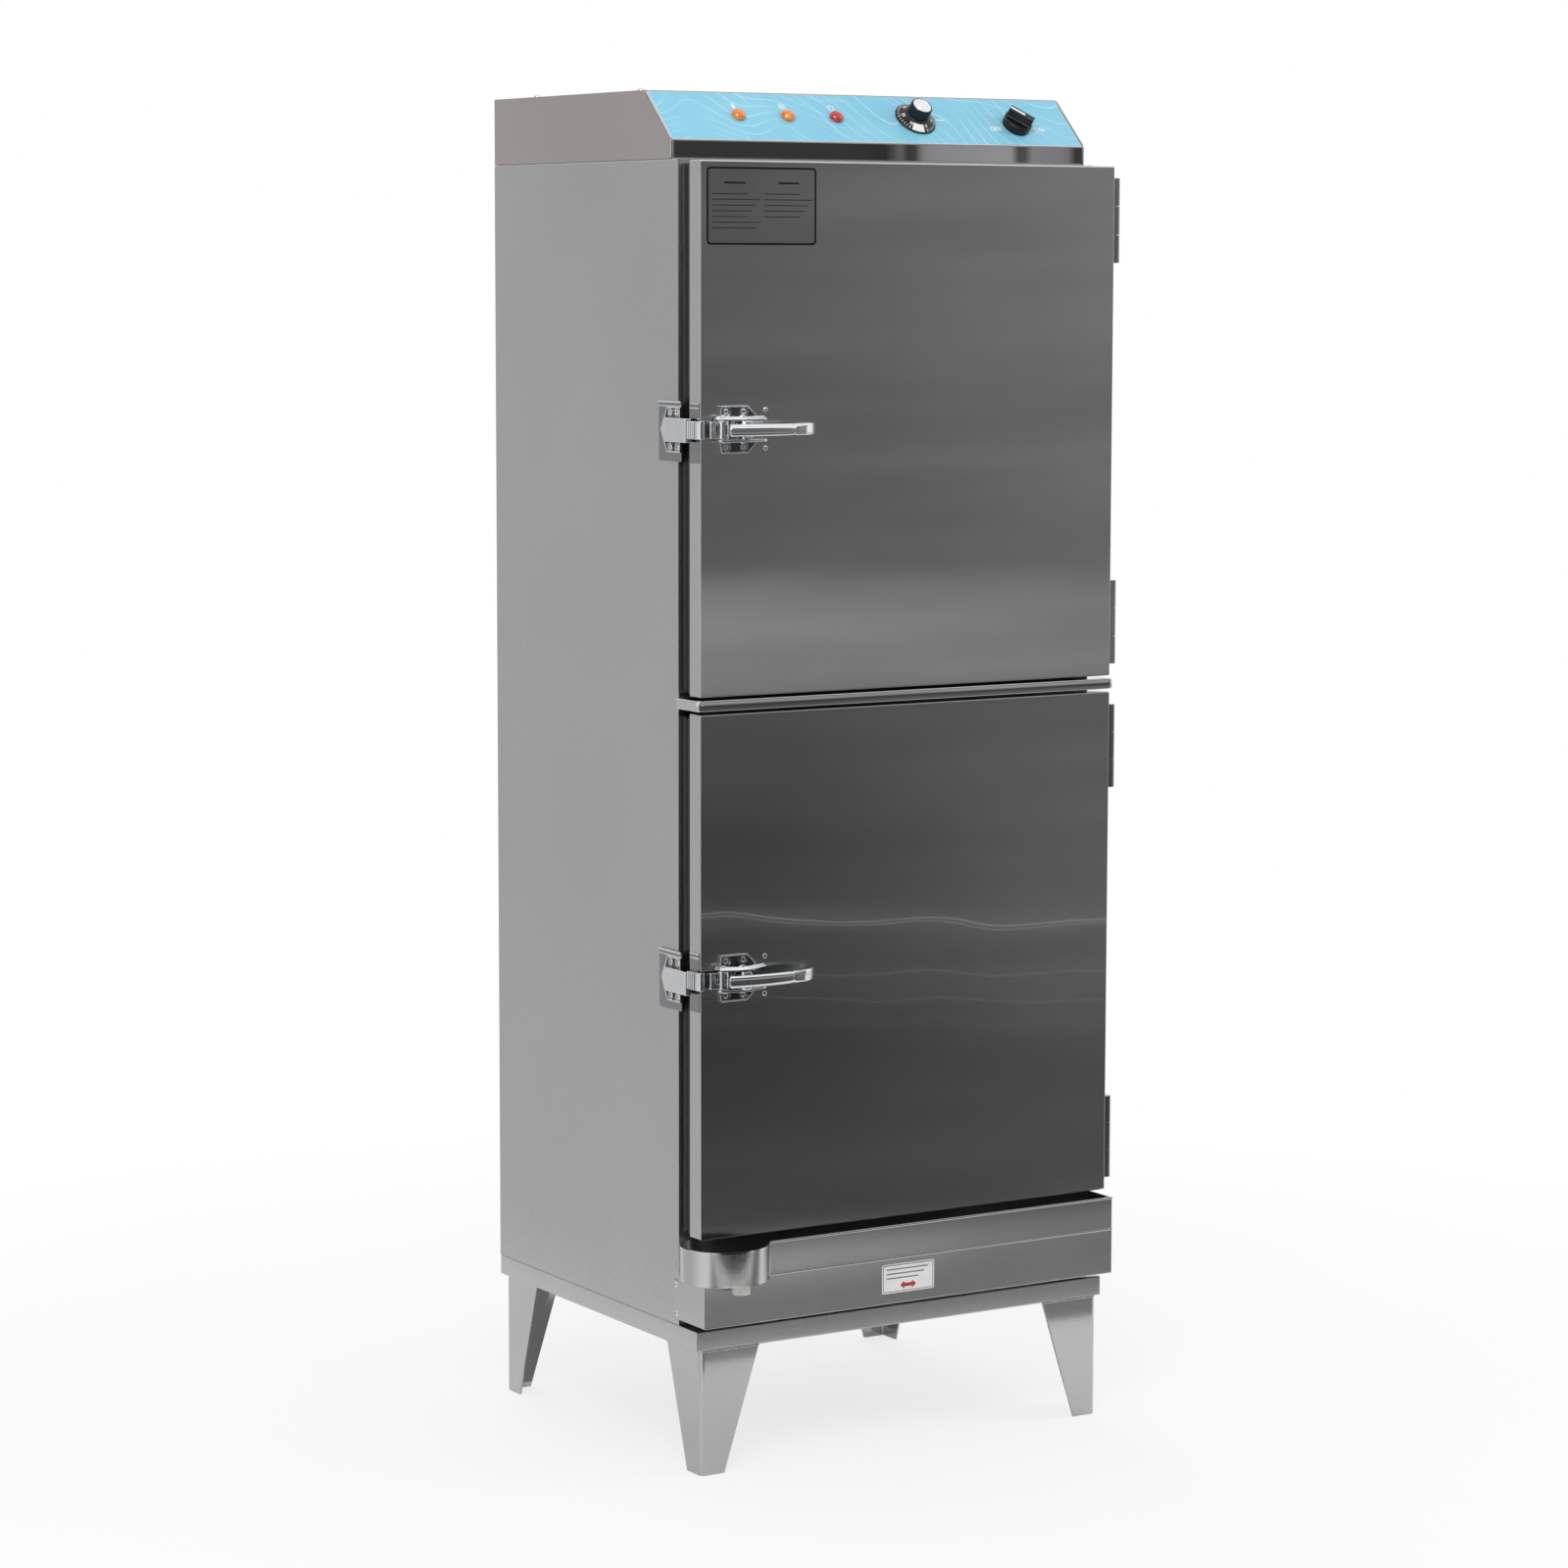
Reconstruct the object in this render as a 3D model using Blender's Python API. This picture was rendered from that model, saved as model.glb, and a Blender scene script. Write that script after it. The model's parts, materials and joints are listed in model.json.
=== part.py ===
"""Two-door towel steamer: a stainless cabinet on folded legs, in metres, +Z up, front facing -Y.

Every piece is modelled in the cabinet's own frame: x runs right from the left side panel,
y runs back from the front of the body and z runs up from the floor. The controls are modelled
in the frame of the sloping panel: x as before, y up the slope and z straight out of it.
"""
import math

import bmesh
import bpy
from mathutils import Matrix, Vector

MM = 0.001

# Sheets and fits
SHEET = 1.2 * MM
FIT = 0.3 * MM
SMOOTH_ANGLE = math.radians(32)

# Casing
WIDTH = 538 * MM
DEPTH = 416 * MM
REAR_RETURN = 14 * MM
INSULATION = 26 * MM

# Base frame and legs
BASE_HEIGHT = 22.6 * MM
BASE_FRONT = 37.7 * MM
BASE_FLANGE = 40 * MM
BASE_SHEET = 1.5 * MM
LEG_HEIGHT = 138.4 * MM
LEG_TOP_WIDTH = 74 * MM
LEG_FOOT_WIDTH = 30 * MM
LEG_SHEET = 2.5 * MM
LEG_BEND = 5 * MM
LEG_SIDE_INSET = 6 * MM
LEG_FRONT_INSET = 0.8 * MM
LEG_REAR_INSET = 4.5 * MM

# Kick panel, drip gutter and drain
KICK_SLOT = 7.2 * MM
KICK_HEIGHT = 51.2 * MM
KICK_FRONT = 57 * MM
KICK_FLANGE_DROP = 8 * MM
KICK_OVERLAP = 8.5 * MM
GUTTER_HEIGHT = 37.7 * MM
GUTTER_PROUD = 6 * MM
GUTTER_BACK = 1 * MM
GUTTER_END_INSET = 3 * MM
CUP_RADIUS = 46 * MM
CUP_X = 27 * MM
DRAIN_OFFSET = 9 * MM
DRAIN_GAP = 5 * MM
DRAIN_RADIUS = 10 * MM
DRAIN_LENGTH = 10.5 * MM
DRAIN_NECK = 5.5 * MM
DRAIN_BORE = 3.5 * MM

# Doors, gaskets and middle rail
DOOR_HEIGHT = 569.5 * MM
DOOR_THICK = 22.7 * MM
DOOR_STANDOFF = 24.2 * MM
DOOR_SIDE_STEP = 2 * MM
DOOR_EDGE = 1.6 * MM
DOOR_LAND = 32 * MM
DOOR_GUTTER_GAP = 6.4 * MM
GASKET_INSET = 3 * MM
GASKET_WIDTH = 20 * MM
GASKET_GROOVE = 3 * MM
FRAME_SHEET = 1.5 * MM
RAIL_GAP = 5 * MM
RAIL_HEIGHT = 10.5 * MM
RAIL_DEPTH = 48 * MM
RAIL_OVERHANG = 4 * MM
RAIL_CORNER = 8 * MM

# Hinges
HINGE_HEIGHT = 94 * MM
HINGE_MARGIN = 13 * MM
HINGE_SETIN = 13.8 * MM
HINGE_LEAF = 2 * MM
HINGE_REACH = 40 * MM
DOOR_LEAF = 1.2 * MM
DOOR_LEAF_MARGIN = 2 * MM
BARREL_RADIUS = 5.2 * MM
PIN_RADIUS = 2.2 * MM
KNUCKLE_GAP = 0.5 * MM

# Latches: x from the door's left edge, reach out from the door's front
LATCH_LIFT = 0.8 * MM
LATCH_PLATE = 2.5 * MM
LATCH_PLATE_HEIGHT = 51 * MM
LATCH_LEFT = 18 * MM
LATCH_LENGTH = 58 * MM
LATCH_EAR_LEFT = 24 * MM
LATCH_EAR_RIGHT = 57 * MM
LATCH_REACH = 22 * MM
CHEEK = 3 * MM
CHEEK_GAP = 20 * MM
LATCH_PIN = 3 * MM
TONGUE_PIN_X = 22 * MM
TONGUE_PIN_REACH = 10.1 * MM
TONGUE_HUB = 6.5 * MM
TONGUE_THICK = 6 * MM
TONGUE_CLEAR = 4 * MM
HANDLE_PIN_X = 42 * MM
HANDLE_PIN_REACH = 16.1 * MM
HANDLE_HUB = 7.5 * MM
HANDLE_HEEL_HEIGHT = 16 * MM
HANDLE_TIP_HEIGHT = 11.5 * MM
HANDLE_THICK = 8 * MM
HANDLE_HEEL_X = 26 * MM
HANDLE_HEEL_REACH = 30 * MM
HANDLE_BOW = 36 * MM
HANDLE_TIP_X = 132 * MM
HANDLE_TIP_REACH = 12 * MM

# Strikes on the left side: y from the body's front
STRIKE_PLATE = 2 * MM
STRIKE_HEIGHT = 65 * MM
STRIKE_BACK = 38 * MM
STRIKE_FRONT = 10 * MM
STRIKE_CORNER = 6 * MM
KEEPER_HEIGHT = 49 * MM
KEEPER_POINT = 32 * MM
KEEPER_EAR = 20 * MM
BLOCK_BACK = 27 * MM
BLOCK_NOSE = 34 * MM
BLOCK_PROUD = 7 * MM

# Head and control panel
HEAD_GAP = 1.8 * MM
HEAD_HEIGHT = 74.3 * MM
HEAD_SETBACK = 16.8 * MM
LIP_HEIGHT = 20.6 * MM
SLOPE_RUN = 56.1 * MM
PANEL_SHEET = 1.5 * MM
PANEL_RETURN = 18 * MM
OVERLAY = 0.5 * MM
OVERLAY_MARGIN = 3 * MM

# Controls on the slope: x from the left or right end of the panel, row up the slope
CONTROL_ROW = 38.5 * MM
LAMP_FIRST = 101 * MM
LAMP_PITCH = 62.3 * MM
LAMP_RADIUS = 8 * MM
LAMP_DOME = 7 * MM
LAMP_RIM = 2.1 * MM
LAMP_RINGS = 5
LAMP_BARREL = 5.5 * MM
LAMP_LENGTH = 24 * MM
SWITCH_FROM_RIGHT = 78 * MM
SWITCH_DROP = 7 * MM
SWITCH_RADIUS = 16.5 * MM
SWITCH_BASE = 10 * MM
SWITCH_BAR_WIDTH = 9 * MM
SWITCH_BAR_HEIGHT = 9 * MM
SWITCH_ANGLE = math.radians(-45)
SWITCH_BODY = 30 * MM
TIMER_SHARE = 0.44
SKIRT_RADIUS = 24 * MM
SKIRT_HEIGHT = 7 * MM
SKIRT_EDGE = 1.5 * MM
GRIP_RADIUS = 12.5 * MM
GRIP_HEIGHT = 14 * MM
TIMER_BODY = 44 * MM
SHAFT_RADIUS = 3 * MM
BUSH_RADIUS = 4.5 * MM
CONTROL_BODY_DEPTH = 28 * MM

# Power inlet at the back of the head
INLET_FROM_RIGHT = 90 * MM
INLET_WIDTH = 48 * MM
INLET_HEIGHT = 30 * MM
INLET_BODY_WIDTH = 28 * MM
INLET_BODY_HEIGHT = 22 * MM
INLET_FLANGE = 3 * MM
INLET_DEPTH = 24 * MM
INLET_WALL = 2.5 * MM

# Inside the chambers
LINER = 1 * MM
RUNNER = 14 * MM
RUNNER_THICK = 3 * MM
PLATE = 1.5 * MM
SHELF_BAR = 5 * MM
SHELF_GAPS = 13
SHELF_CLEAR = 1.5 * MM
SLOT_COUNT = 9
SLOT_WIDTH = 14 * MM
SLOT_MARGIN = 40 * MM
TANK_HEIGHT = 75 * MM
TANK_CLEAR = 4 * MM
ACCESS_MARGIN = 10 * MM
HEATER_RADIUS = 5 * MM
HEATER_BEND = 60 * MM
HEATER_LIFT = 22 * MM
HEATER_FRONT = 90 * MM
HEATER_FLANGE = 3 * MM

# Levels, from the floor up
BASE_BOTTOM = LEG_HEIGHT + FIT
BASE_TOP = BASE_BOTTOM + BASE_HEIGHT
BODY_BOTTOM = BASE_TOP + FIT
KICK_BOTTOM = BASE_TOP + KICK_SLOT
KICK_TOP = KICK_BOTTOM + KICK_HEIGHT
GUTTER_BOTTOM = KICK_TOP + FIT
GUTTER_TOP = GUTTER_BOTTOM + GUTTER_HEIGHT
LOWER_DOOR = GUTTER_TOP + DOOR_GUTTER_GAP
RAIL_BOTTOM = LOWER_DOOR + DOOR_HEIGHT + RAIL_GAP
RAIL_TOP = RAIL_BOTTOM + RAIL_HEIGHT
UPPER_DOOR = RAIL_TOP + RAIL_GAP
BODY_TOP = UPPER_DOOR + DOOR_HEIGHT + HEAD_GAP
HEAD_BOTTOM = BODY_TOP + FIT
HEAD_TOP = HEAD_BOTTOM + HEAD_HEIGHT
LIP_TOP = HEAD_BOTTOM + LIP_HEIGHT

# Planes that several pieces share
CASE_LEFT = SHEET + FIT
CASE_RIGHT = WIDTH - SHEET - FIT
FRAME_BACK = FRAME_SHEET + FIT
REAR_OUTER = DEPTH - SHEET - FIT
REAR_INNER = REAR_OUTER - SHEET
DECK_BOTTOM = BODY_TOP - SHEET
PAN_TOP = BODY_BOTTOM + SHEET
LINER_LEFT = CASE_LEFT + INSULATION + FIT
LINER_RIGHT = WIDTH - LINER_LEFT
LINER_BACK = REAR_INNER - FIT - INSULATION - FIT
LINER_TOP = DECK_BOTTOM - FIT - INSULATION - FIT
LINER_BOTTOM = PAN_TOP + FIT
ROOM_LEFT = LINER_LEFT + LINER
ROOM_RIGHT = LINER_RIGHT - LINER
ROOM_BACK = LINER_BACK - LINER
DOOR_RIGHT = WIDTH - DOOR_SIDE_STEP
DOOR_BACK = -DOOR_STANDOFF
DOOR_FRONT = DOOR_BACK - DOOR_THICK
HINGE_X = DOOR_RIGHT + FIT + DOOR_LEAF + FIT + BARREL_RADIUS
HINGE_Y = DOOR_BACK - HINGE_SETIN
CUP_Y = -(GUTTER_BACK + CUP_RADIUS)
GUTTER_FRONT = KICK_FRONT + GUTTER_PROUD
GUTTER_RIGHT = WIDTH - GUTTER_END_INSET
DRAIN_X = CUP_X + DRAIN_OFFSET
DRAIN_Y = -(KICK_FRONT + DRAIN_GAP + DRAIN_RADIUS)
SLOPE_RISE = HEAD_TOP - LIP_TOP
SLOPE = math.atan2(SLOPE_RISE, SLOPE_RUN)
PANEL_LENGTH = (SLOPE_RISE - SHEET - FIT) / math.sin(SLOPE)
OVERLAY_TOP = FIT + OVERLAY
LAMPS_X = [LAMP_FIRST + LAMP_PITCH * n for n in range(3)]
SWITCH_X = WIDTH - SWITCH_FROM_RIGHT
SWITCH_ROW = CONTROL_ROW - SWITCH_DROP
TIMER_X = LAMPS_X[-1] + TIMER_SHARE * (SWITCH_X - LAMPS_X[-1])
INLET_X = WIDTH - INLET_FROM_RIGHT
INLET_Z = HEAD_BOTTOM + HEAD_HEIGHT / 2
LATCH_RIGHT = LATCH_LEFT + LATCH_LENGTH
TONGUE_HEIGHT = CHEEK_GAP - 2 * FIT
BAFFLE_LEVEL = LOWER_DOOR + FIT
LOWER_SHELF = LOWER_DOOR + DOOR_HEIGHT / 2
DIVIDER_LEVEL = (RAIL_BOTTOM + RAIL_TOP) / 2
UPPER_SHELF = UPPER_DOOR + DOOR_HEIGHT / 2

# The whole part's box, which sets its origin at the middle of the bottom
BOX_LEFT = CUP_X - CUP_RADIUS
BOX_RIGHT = HINGE_X + BARREL_RADIUS
BOX_FRONT = CUP_Y - CUP_RADIUS
BOX_BACK = DEPTH + FIT + INLET_FLANGE

# Colour, roughness and metallic value of each finish
FINISHES = {
    "brushed_stainless": ((0.55, 0.55, 0.55), 0.35, 1.0),
    "polished_stainless": ((0.66, 0.66, 0.67), 0.12, 1.0),
    "chrome": ((0.78, 0.79, 0.80), 0.06, 1.0),
    "black_rubber": ((0.02, 0.02, 0.02), 0.6, 0.0),
    "mineral_wool": ((0.62, 0.56, 0.38), 0.95, 0.0),
    "blue_overlay": ((0.24, 0.61, 0.79), 0.35, 0.0),
    "amber_lens": ((0.87, 0.25, 0.01), 0.15, 0.0),
    "red_lens": ((0.58, 0.01, 0.02), 0.15, 0.0),
    "black_plastic": ((0.015, 0.015, 0.016), 0.35, 0.0),
    "pale_plastic": ((0.70, 0.69, 0.66), 0.4, 0.0),
    "heater_sheath": ((0.30, 0.29, 0.28), 0.45, 1.0),
}


def clear_scene():
    for obj in list(bpy.data.objects):
        bpy.data.objects.remove(obj, do_unlink=True)


def make_finishes():
    finishes = {}
    for name, (colour, roughness, metallic) in FINISHES.items():
        finish = bpy.data.materials.new(name)
        finish.use_nodes = True
        shader = finish.node_tree.nodes["Principled BSDF"]
        shader.inputs["Base Color"].default_value = (*colour, 1.0)
        shader.inputs["Roughness"].default_value = roughness
        shader.inputs["Metallic"].default_value = metallic
        finishes[name] = finish
    return finishes


# Outlines

def rectangle(left, right, low, high):
    return [(left, low), (right, low), (right, high), (left, high)]


def arc(centre, radius, start, stop, steps):
    """Points of an arc between two angles in degrees, both ends included."""
    points = []
    for n in range(steps + 1):
        angle = math.radians(start + (stop - start) * n / steps)
        points.append((centre[0] + radius * math.cos(angle), centre[1] + radius * math.sin(angle)))
    return points


def circle(centre, radius, steps=24):
    return arc(centre, radius, 0, 360, steps)[:-1]


def rounded_rectangle(left, right, low, high, radius, steps=4):
    corners = [(right - radius, high - radius), (left + radius, high - radius),
               (left + radius, low + radius), (right - radius, low + radius)]
    points = []
    for n, corner in enumerate(corners):
        points += arc(corner, radius, 90 * n, 90 * n + 90, steps)
    return points


# Solids

AXES = {"x": (1, 2, 0), "y": (0, 2, 1), "z": (0, 1, 2)}


def prism(axis, low, high, outline, holes=()):
    """An outline with holes, extruded: along x it is in (y, z), along y in (x, z), along z in (x, y)."""
    first, second, along = AXES[axis]
    flat = bmesh.new()
    edges = []
    loops = []
    for points in (outline, *holes):
        loop = []
        for a, b in points:
            place = [0.0, 0.0, 0.0]
            place[first], place[second], place[along] = a, b, low
            loop.append(flat.verts.new(place))
        loops.append(loop)
        edges += [flat.edges.new((loop[n - 1], vert)) for n, vert in enumerate(loop)]
    if holes:
        bmesh.ops.triangle_fill(flat, edges=edges, use_beauty=True)
    else:
        flat.faces.new(loops[0])
    rise = Vector((0, 0, 0))
    rise[along] = high - low
    top = {vert: flat.verts.new(vert.co + rise) for loop in loops for vert in loop}
    for face in list(flat.faces):
        flat.faces.new([top[vert] for vert in face.verts])
    for loop in loops:
        for n, vert in enumerate(loop):
            flat.faces.new((loop[n - 1], vert, top[vert], top[loop[n - 1]]))
    bmesh.ops.recalc_face_normals(flat, faces=flat.faces[:])
    return flat


def box(x, y, z):
    return prism("z", z[0], z[1], rectangle(*x, *y))


def cylinder(axis, low, high, centre, radius, steps=24):
    return prism(axis, low, high, circle(centre, radius, steps))


def skin(rings, closed=False):
    """Faces between rings of points, with capped ends or closed round on themselves."""
    solid = bmesh.new()
    rows = [[solid.verts.new(point) for point in ring] for ring in rings]
    pairs = list(zip(rows, rows[1:]))
    if closed:
        pairs.append((rows[-1], rows[0]))
    else:
        solid.faces.new(rows[0])
        solid.faces.new(rows[-1])
    for one, two in pairs:
        for n in range(len(one)):
            solid.faces.new((one[n - 1], one[n], two[n], two[n - 1]))
    bmesh.ops.recalc_face_normals(solid, faces=solid.faces[:])
    return solid


def turned(centre, profile, steps=24):
    """A solid of revolution about z through the centre; the profile is (radius, z), end to end."""
    rings = []
    for radius, z in profile:
        rings.append([(x, y, z) for x, y in circle(centre, radius, steps)])
    return skin(rings)


def swept(path, section, taper=1.0):
    """A section of (across, up) points carried along a level path; its height ends at taper of its own."""
    rings = []
    for n, point in enumerate(path):
        height = 1 + (taper - 1) * n / (len(path) - 1)
        before = Vector(path[max(n - 1, 0)])
        after = Vector(path[min(n + 1, len(path) - 1)])
        ahead = (after - before).normalized()
        across = Vector((-ahead.y, ahead.x, 0))
        rings.append([Vector(point) + across * a + Vector((0, 0, b * height)) for a, b in section])
    return skin(rings)


def combine(operation, first, *others):
    """One solid from several, by a Boolean: UNION joins the others on, DIFFERENCE cuts them away."""
    scratch = []
    for solid in (first, *others):
        mesh = bpy.data.meshes.new("scratch")
        solid.to_mesh(mesh)
        solid.free()
        scratch.append(bpy.data.objects.new("scratch", mesh))
        bpy.context.collection.objects.link(scratch[-1])
    for tool in scratch[1:]:
        step = scratch[0].modifiers.new("shape", "BOOLEAN")
        step.operation = operation
        step.object = tool
    result = bmesh.new()
    result.from_object(scratch[0], bpy.context.evaluated_depsgraph_get())
    for obj in scratch:
        mesh = obj.data
        bpy.data.objects.remove(obj, do_unlink=True)
        bpy.data.meshes.remove(mesh)
    return result


def join(first, *others):
    return combine("UNION", first, *others)


def cut(first, *others):
    return combine("DIFFERENCE", first, *others)


# Objects

def datum(name, place, parent=None, tilt=0.0):
    empty = bpy.data.objects.new(name, None)
    empty.location = place
    empty.rotation_euler = (tilt, 0, 0)
    empty.parent = parent
    bpy.context.collection.objects.link(empty)
    return empty


def piece(name, solid, finish, parent, origin=(0, 0, 0)):
    """One named object, with its origin where the piece turns or sits."""
    mesh = bpy.data.meshes.new(name)
    bmesh.ops.translate(solid, verts=solid.verts[:], vec=-Vector(origin))
    solid.to_mesh(mesh)
    solid.free()
    mesh.materials.append(finish)
    mesh.shade_smooth()
    mesh.set_sharp_from_angle(angle=SMOOTH_ANGLE)
    obj = bpy.data.objects.new(name, mesh)
    obj.location = origin
    obj.parent = parent
    if parent.name.endswith("door_axis"):
        obj.matrix_parent_inverse = Matrix.Translation(-parent.location)
    bpy.context.collection.objects.link(obj)
    return obj


# Base

def base_frame():
    """A ring of channel, open towards its middle."""
    ring = box((0, WIDTH), (-BASE_FRONT, DEPTH), (BASE_BOTTOM, BASE_TOP))
    middle = box((BASE_FLANGE, WIDTH - BASE_FLANGE), (-BASE_FRONT + BASE_FLANGE, DEPTH - BASE_FLANGE),
                 (BASE_BOTTOM - BASE_SHEET, BASE_TOP + BASE_SHEET))
    groove = box((BASE_SHEET, WIDTH - BASE_SHEET), (-BASE_FRONT + BASE_SHEET, DEPTH - BASE_SHEET),
                 (BASE_BOTTOM + BASE_SHEET, BASE_TOP - BASE_SHEET))
    return cut(ring, middle, groove)


def leg(corner, side, back):
    """A tapered L of sheet with a gusset on top; side and back are the signs of its two plates."""
    def section(width):
        outer = arc((LEG_BEND, LEG_BEND), LEG_BEND, 180, 270, 4)
        inner = arc((LEG_BEND, LEG_BEND), LEG_BEND - LEG_SHEET, 270, 180, 4)
        return outer + [(width, 0), (width, LEG_SHEET)] + inner + [(LEG_SHEET, width), (0, width)]

    def set_in_corner(points, z):
        return [(corner[0] + side * x, corner[1] + back * y, z) for x, y in points]

    foot = set_in_corner(section(LEG_FOOT_WIDTH), 0)
    head = set_in_corner(section(LEG_TOP_WIDTH), LEG_HEIGHT)
    plates = skin([foot, head])
    inset = LEG_SHEET / 2
    far = LEG_TOP_WIDTH - LEG_BEND
    triangle = [(inset, LEG_BEND), (LEG_BEND, inset), (far, inset), (inset, far)]
    gusset = skin([set_in_corner(triangle, LEG_HEIGHT - LEG_SHEET), set_in_corner(triangle, LEG_HEIGHT)])
    return join(plates, gusset)


def build_base(root, steel):
    piece("base_frame", base_frame(), steel, root)
    left, right = LEG_SIDE_INSET, WIDTH - LEG_SIDE_INSET
    front, rear = -BASE_FRONT + LEG_FRONT_INSET, DEPTH - LEG_REAR_INSET
    for end, y, back in (("front", front, 1), ("rear", rear, -1)):
        for hand, x, side in (("left", left, 1), ("right", right, -1)):
            piece(f"leg_{end}_{hand}", leg((x, y), side, back), steel, root)


# Casing

def side_panel(outer, inner, inward):
    """A flat sheet with a return at the rear that the back panel is screwed to."""
    return prism("z", BODY_BOTTOM, BODY_TOP, [
        (outer, 0), (inner, 0), (inner, DEPTH - SHEET), (outer + inward * REAR_RETURN, DEPTH - SHEET),
        (outer + inward * REAR_RETURN, DEPTH), (outer, DEPTH)])


def door_opening(door):
    return rectangle(DOOR_LAND, DOOR_RIGHT - DOOR_LAND, door + DOOR_LAND, door + DOOR_HEIGHT - DOOR_LAND)


def build_casing(root, steel, polished, wool):
    piece("left_side_panel", side_panel(0, SHEET, 1), steel, root)
    piece("right_side_panel", side_panel(WIDTH, WIDTH - SHEET, -1), steel, root)
    across = (CASE_LEFT, CASE_RIGHT)
    piece("back_panel", box(across, (REAR_INNER, REAR_OUTER), (BODY_BOTTOM, BODY_TOP)), steel, root)
    access = rectangle(ROOM_LEFT + ACCESS_MARGIN, ROOM_RIGHT - ACCESS_MARGIN,
                       PAN_TOP + ACCESS_MARGIN, PAN_TOP + TANK_HEIGHT)
    frame = prism("y", 0, FRAME_SHEET, rectangle(CASE_LEFT, CASE_RIGHT, BODY_BOTTOM, BODY_TOP),
                  [door_opening(LOWER_DOOR), door_opening(UPPER_DOOR), access])
    piece("front_frame", frame, steel, root)
    inside = (FRAME_BACK, REAR_INNER - FIT)
    piece("bottom_pan", box(across, inside, (BODY_BOTTOM, PAN_TOP)), steel, root)
    piece("top_deck", box(across, inside, (DECK_BOTTOM, BODY_TOP)), steel, root)
    wrap = box(across, inside, (LINER_BOTTOM, DECK_BOTTOM - FIT))
    hollow = box((LINER_LEFT - FIT, LINER_RIGHT + FIT), (-DEPTH, LINER_BACK + FIT), (0, LINER_TOP + FIT))
    piece("cabinet_insulation", cut(wrap, hollow), wool, root)
    piece("middle_rail", middle_rail(), polished, root)


def middle_rail():
    """A channel between the doors, open at its back, with round front corners."""
    left, right = -RAIL_OVERHANG, WIDTH + RAIL_OVERHANG
    outline = [(right, -FIT), (left, -FIT)]
    outline += arc((left + RAIL_CORNER, -RAIL_DEPTH + RAIL_CORNER), RAIL_CORNER, 180, 270, 5)
    outline += arc((right - RAIL_CORNER, -RAIL_DEPTH + RAIL_CORNER), RAIL_CORNER, 270, 360, 5)
    channel = box((left + RAIL_CORNER, right - RAIL_CORNER), (-RAIL_DEPTH + SHEET, RAIL_DEPTH),
                  (RAIL_BOTTOM + SHEET, RAIL_TOP - SHEET))
    return cut(prism("z", RAIL_BOTTOM, RAIL_TOP, outline), channel)


# Chambers

def chamber_liner():
    """A wrap of sheet, open at the front and at the bottom, with pressed runners on both sides."""
    wrap = box((LINER_LEFT, LINER_RIGHT), (FRAME_BACK, LINER_BACK), (LINER_BOTTOM, LINER_TOP))
    room = box((ROOM_LEFT, ROOM_RIGHT), (-DEPTH, ROOM_BACK), (0, LINER_TOP - LINER))
    runners = []
    for level in (BAFFLE_LEVEL, LOWER_SHELF, DIVIDER_LEVEL, UPPER_SHELF):
        height = (level - FIT - RUNNER_THICK, level - FIT)
        length = (FRAME_BACK + RUNNER, ROOM_BACK - RUNNER)
        runners.append(box((ROOM_LEFT - LINER / 2, ROOM_LEFT + RUNNER), length, height))
        runners.append(box((ROOM_RIGHT - RUNNER, ROOM_RIGHT + LINER / 2), length, height))
    return join(cut(wrap, room), *runners)


def slotted_plate(level):
    """A loose plate across the chamber, with two rows of slots for the steam."""
    left, right = ROOM_LEFT + FIT, ROOM_RIGHT - FIT
    front, back = FRAME_BACK, ROOM_BACK - FIT
    middle = (front + back) / 2
    rows = ((front + SLOT_MARGIN, middle - SLOT_WIDTH), (middle + SLOT_WIDTH, back - SLOT_MARGIN))
    pitch = (right - left - 2 * SLOT_MARGIN) / (SLOT_COUNT - 1)
    slots = []
    for low, high in rows:
        for n in range(SLOT_COUNT):
            x = left + SLOT_MARGIN + pitch * n
            slots.append(rectangle(x - SLOT_WIDTH / 2, x + SLOT_WIDTH / 2, low, high))
    return prism("z", level, level + PLATE, rectangle(left, right, front, back), slots)


def shelf(level):
    """A grid of bars that passes through the door opening and rests on the runners."""
    left, right = DOOR_LAND + SHELF_CLEAR, DOOR_RIGHT - DOOR_LAND - SHELF_CLEAR
    front, back = FRAME_BACK + SHELF_BAR, ROOM_BACK - FIT
    middle = (front + back) / 2
    rows = ((front + SHELF_BAR, middle - SHELF_BAR / 2), (middle + SHELF_BAR / 2, back - SHELF_BAR))
    pitch = (right - left - SHELF_BAR) / SHELF_GAPS
    gaps = []
    for low, high in rows:
        for n in range(SHELF_GAPS):
            x = left + SHELF_BAR + pitch * n
            gaps.append(rectangle(x, x + pitch - SHELF_BAR, low, high))
    return prism("z", level, level + SHELF_BAR, rectangle(left, right, front, back), gaps)


def water_tank():
    outer = box((ROOM_LEFT + TANK_CLEAR, ROOM_RIGHT - TANK_CLEAR), (FRAME_BACK + TANK_CLEAR, ROOM_BACK - FIT),
                (LINER_BOTTOM, LINER_BOTTOM + TANK_HEIGHT))
    inner = box((ROOM_LEFT + TANK_CLEAR + SHEET, ROOM_RIGHT - TANK_CLEAR - SHEET),
                (FRAME_BACK + TANK_CLEAR + SHEET, ROOM_BACK - FIT - SHEET),
                (LINER_BOTTOM + SHEET, LINER_BOTTOM + 2 * TANK_HEIGHT))
    return cut(outer, inner)


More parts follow.
